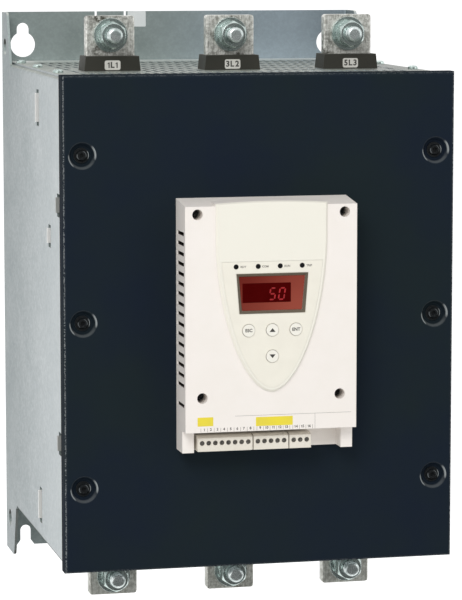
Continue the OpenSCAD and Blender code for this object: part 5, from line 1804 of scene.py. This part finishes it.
@dataclass
class Studio:
    """Camera, soft light, white surroundings and a pale floor."""

    camera_place: Triple = (-0.5192, -2.4398, 0.2887)
    yaw: float = 13.07
    pitch: float = 7.063
    roll: float = -0.02
    focal_pixels: float = 2920.2
    image_height: int = 600
    sensor: float = 36.0
    near_clip: float = 0.1
    ambient: float = 0.62
    lamps: tuple[SoftLamp, ...] = (
        SoftLamp("key_light", (-1.5, -3.0, 2.2), 1.6, 60.0),
        SoftLamp("fill_light", (2.2, -2.6, 0.7), 1.8, 9.0),
    )
    aim: Triple = (0.0, -0.15, 0.0)
    floor_z: float = -0.53
    floor_reach: float = 40.0
    floor_grey: float = 0.86
    floor_glow: float = 0.6
    flag_low: Triple = (-0.8, -3.6, -0.52)
    flag_high: Triple = (2.5, -0.6, 0.9)
    flag_grey: float = 0.1

    def build(self) -> None:
        """Sets up everything that isn't part of the object."""
        bpy.context.scene.view_settings.view_transform = "Standard"
        self.set_camera()
        self.set_world()
        self.hang_lamps()
        self.lay_floor()
        self.hang_flags()

    @staticmethod
    def linked(name: str, data: bpy.types.ID) -> bpy.types.Object:
        """Puts an object into the scene.

        Args:
            name: The object's name.
            data: Its mesh, camera or lamp.

        Returns:
            The new object.
        """
        made = bpy.data.objects.new(name, data)
        bpy.context.scene.collection.objects.link(made)
        return made

    def staged(
        self,
        name: str,
        corners: Sequence[Triple],
        faces: Sequence[tuple[int, ...]],
        material: bpy.types.Material,
    ) -> bpy.types.Object:
        """Makes a piece of the stage, which is no part of the object.

        Args:
            name: The piece's name.
            corners: Its points.
            faces: Its faces as point numbers.
            material: Its material.

        Returns:
            The new object.
        """
        mesh = bpy.data.meshes.new(name)
        mesh.from_pydata(corners, [], faces)
        mesh.materials.append(material)
        piece = self.linked(name, mesh)
        return piece

    def set_camera(self) -> None:
        """Camera at the measured place: it looks along yaw to the right and pitch down, slightly rolled."""
        yaw, pitch, roll = (math.radians(angle) for angle in (self.yaw, self.pitch, self.roll))
        ahead = Vector((math.sin(yaw) * math.cos(pitch), math.cos(yaw) * math.cos(pitch), -math.sin(pitch)))
        right = Vector((math.cos(yaw), -math.sin(yaw), 0.0))
        up = right.cross(ahead)
        rolled_right = right * math.cos(roll) + up * math.sin(roll)
        rolled_up = up * math.cos(roll) - right * math.sin(roll)
        data = bpy.data.cameras.new("camera")
        data.sensor_width = self.sensor
        data.lens = self.focal_pixels * self.sensor / self.image_height
        data.clip_start = self.near_clip
        camera = self.linked("camera", data)
        turned = Matrix((rolled_right, rolled_up, -ahead)).transposed().to_4x4()
        camera.matrix_world = Matrix.Translation(Vector(self.camera_place)) @ turned
        bpy.context.scene.camera = camera

    def set_world(self) -> None:
        """White for what is seen directly, in gloss or through glass; softer as light."""
        world = bpy.data.worlds.new("white_room")
        graph = Graph(emptied(world))
        strength = graph.ramp(self.seen(graph), 0.0, 1.0, self.ambient, 1.0)
        back = graph.node("Background", {"Color": grey(1.0), "Strength": strength})
        graph.node("OutputWorld", {"Surface": back.outputs[0]})
        bpy.context.scene.world = world

    @staticmethod
    def seen(graph: Graph) -> Socket:
        """Tells the rays that show a thing from those that only light it.

        Args:
            graph: The graph of the material or the world.

        Returns:
            1 for camera, glossy and transmission rays, and 0 for the rest.
        """
        path = graph.node("LightPath")
        both = graph.math("MAXIMUM", path.outputs["Is Camera Ray"], path.outputs["Is Glossy Ray"])
        return graph.math("MAXIMUM", both, path.outputs["Is Transmission Ray"])

    def hang_lamps(self) -> None:
        """A broad key from the upper left front and a weaker fill from the right."""
        for lamp in self.lamps:
            data = bpy.data.lights.new(lamp.name, "AREA")
            data.size = lamp.width
            data.energy = lamp.power
            made = self.linked(lamp.name, data)
            made.location = lamp.place
            toward = Vector(self.aim) - Vector(lamp.place)
            made.rotation_euler = toward.to_track_quat("-Z", "Y").to_euler()
            made.visible_camera = False

    def lay_floor(self) -> None:
        """Pale floor: diffuse, to keep the shadow, with a glow where it is seen, and clear from below."""
        material = bpy.data.materials.new("pale_floor")
        graph = Graph(emptied(material))
        diffuse = graph.node("BsdfDiffuse", {"Color": grey(self.floor_grey)}).outputs[0]
        glow = graph.math("MULTIPLY", self.seen(graph), self.floor_glow)
        light = graph.node("Emission", {"Color": grey(1.0), "Strength": glow}).outputs[0]
        both = graph.node("AddShader", {0: diffuse, 1: light}).outputs[0]
        below = graph.node("NewGeometry").outputs["Backfacing"]
        clear = graph.node("BsdfTransparent").outputs[0]
        shown = graph.node("MixShader", {0: below, 1: both, 2: clear}).outputs[0]
        graph.node("OutputMaterial", {"Surface": shown})
        corners = [(-1, -1), (1, -1), (1, 1), (-1, 1)]
        points = [(x * self.floor_reach, y * self.floor_reach, self.floor_z) for x, y in corners]
        self.staged("floor", points, [(0, 1, 2, 3)], material)

    def hang_flags(self) -> None:
        """Dark flags right of the camera and over the floor that only gloss shows, for contrast in metal."""
        material = bpy.data.materials.new("dark_flag")
        graph = Graph(emptied(material))
        dark = graph.node("Emission", {"Color": grey(self.flag_grey), "Strength": 1.0}).outputs[0]
        graph.node("OutputMaterial", {"Surface": dark})
        (left, near, low), (right, far, high) = self.flag_low, self.flag_high
        points = [
            (left, near, low), (right, near, low), (right, near, high), (left, near, high),
            (left, far, low), (right, far, low),
        ]
        flags = self.staged("flags", points, [(3, 2, 1, 0), (0, 1, 5, 4)], material)
        for ray in ("camera", "diffuse", "transmission", "volume_scatter", "shadow"):
            setattr(flags, f"visible_{ray}", False)


def main() -> None:
    """Sets up the studio, builds each sub-assembly and checks that every solid has a finish."""
    logging.basicConfig(level=logging.INFO, format="%(name)s: %(message)s")
    Studio().build()
    for assembly in (Enclosure(), PowerTerminals(), ControlModule(), Keypad(), TerminalRow(), PowerStack()):
        assembly.build()
    finished = set(PALETTE.built.values())
    plain = [name for name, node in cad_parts.items() if not set(node.data.materials) <= finished]
    if plain:
        log.warning("no finish on %s", plain)


if __name__ == "__main__":
    main()
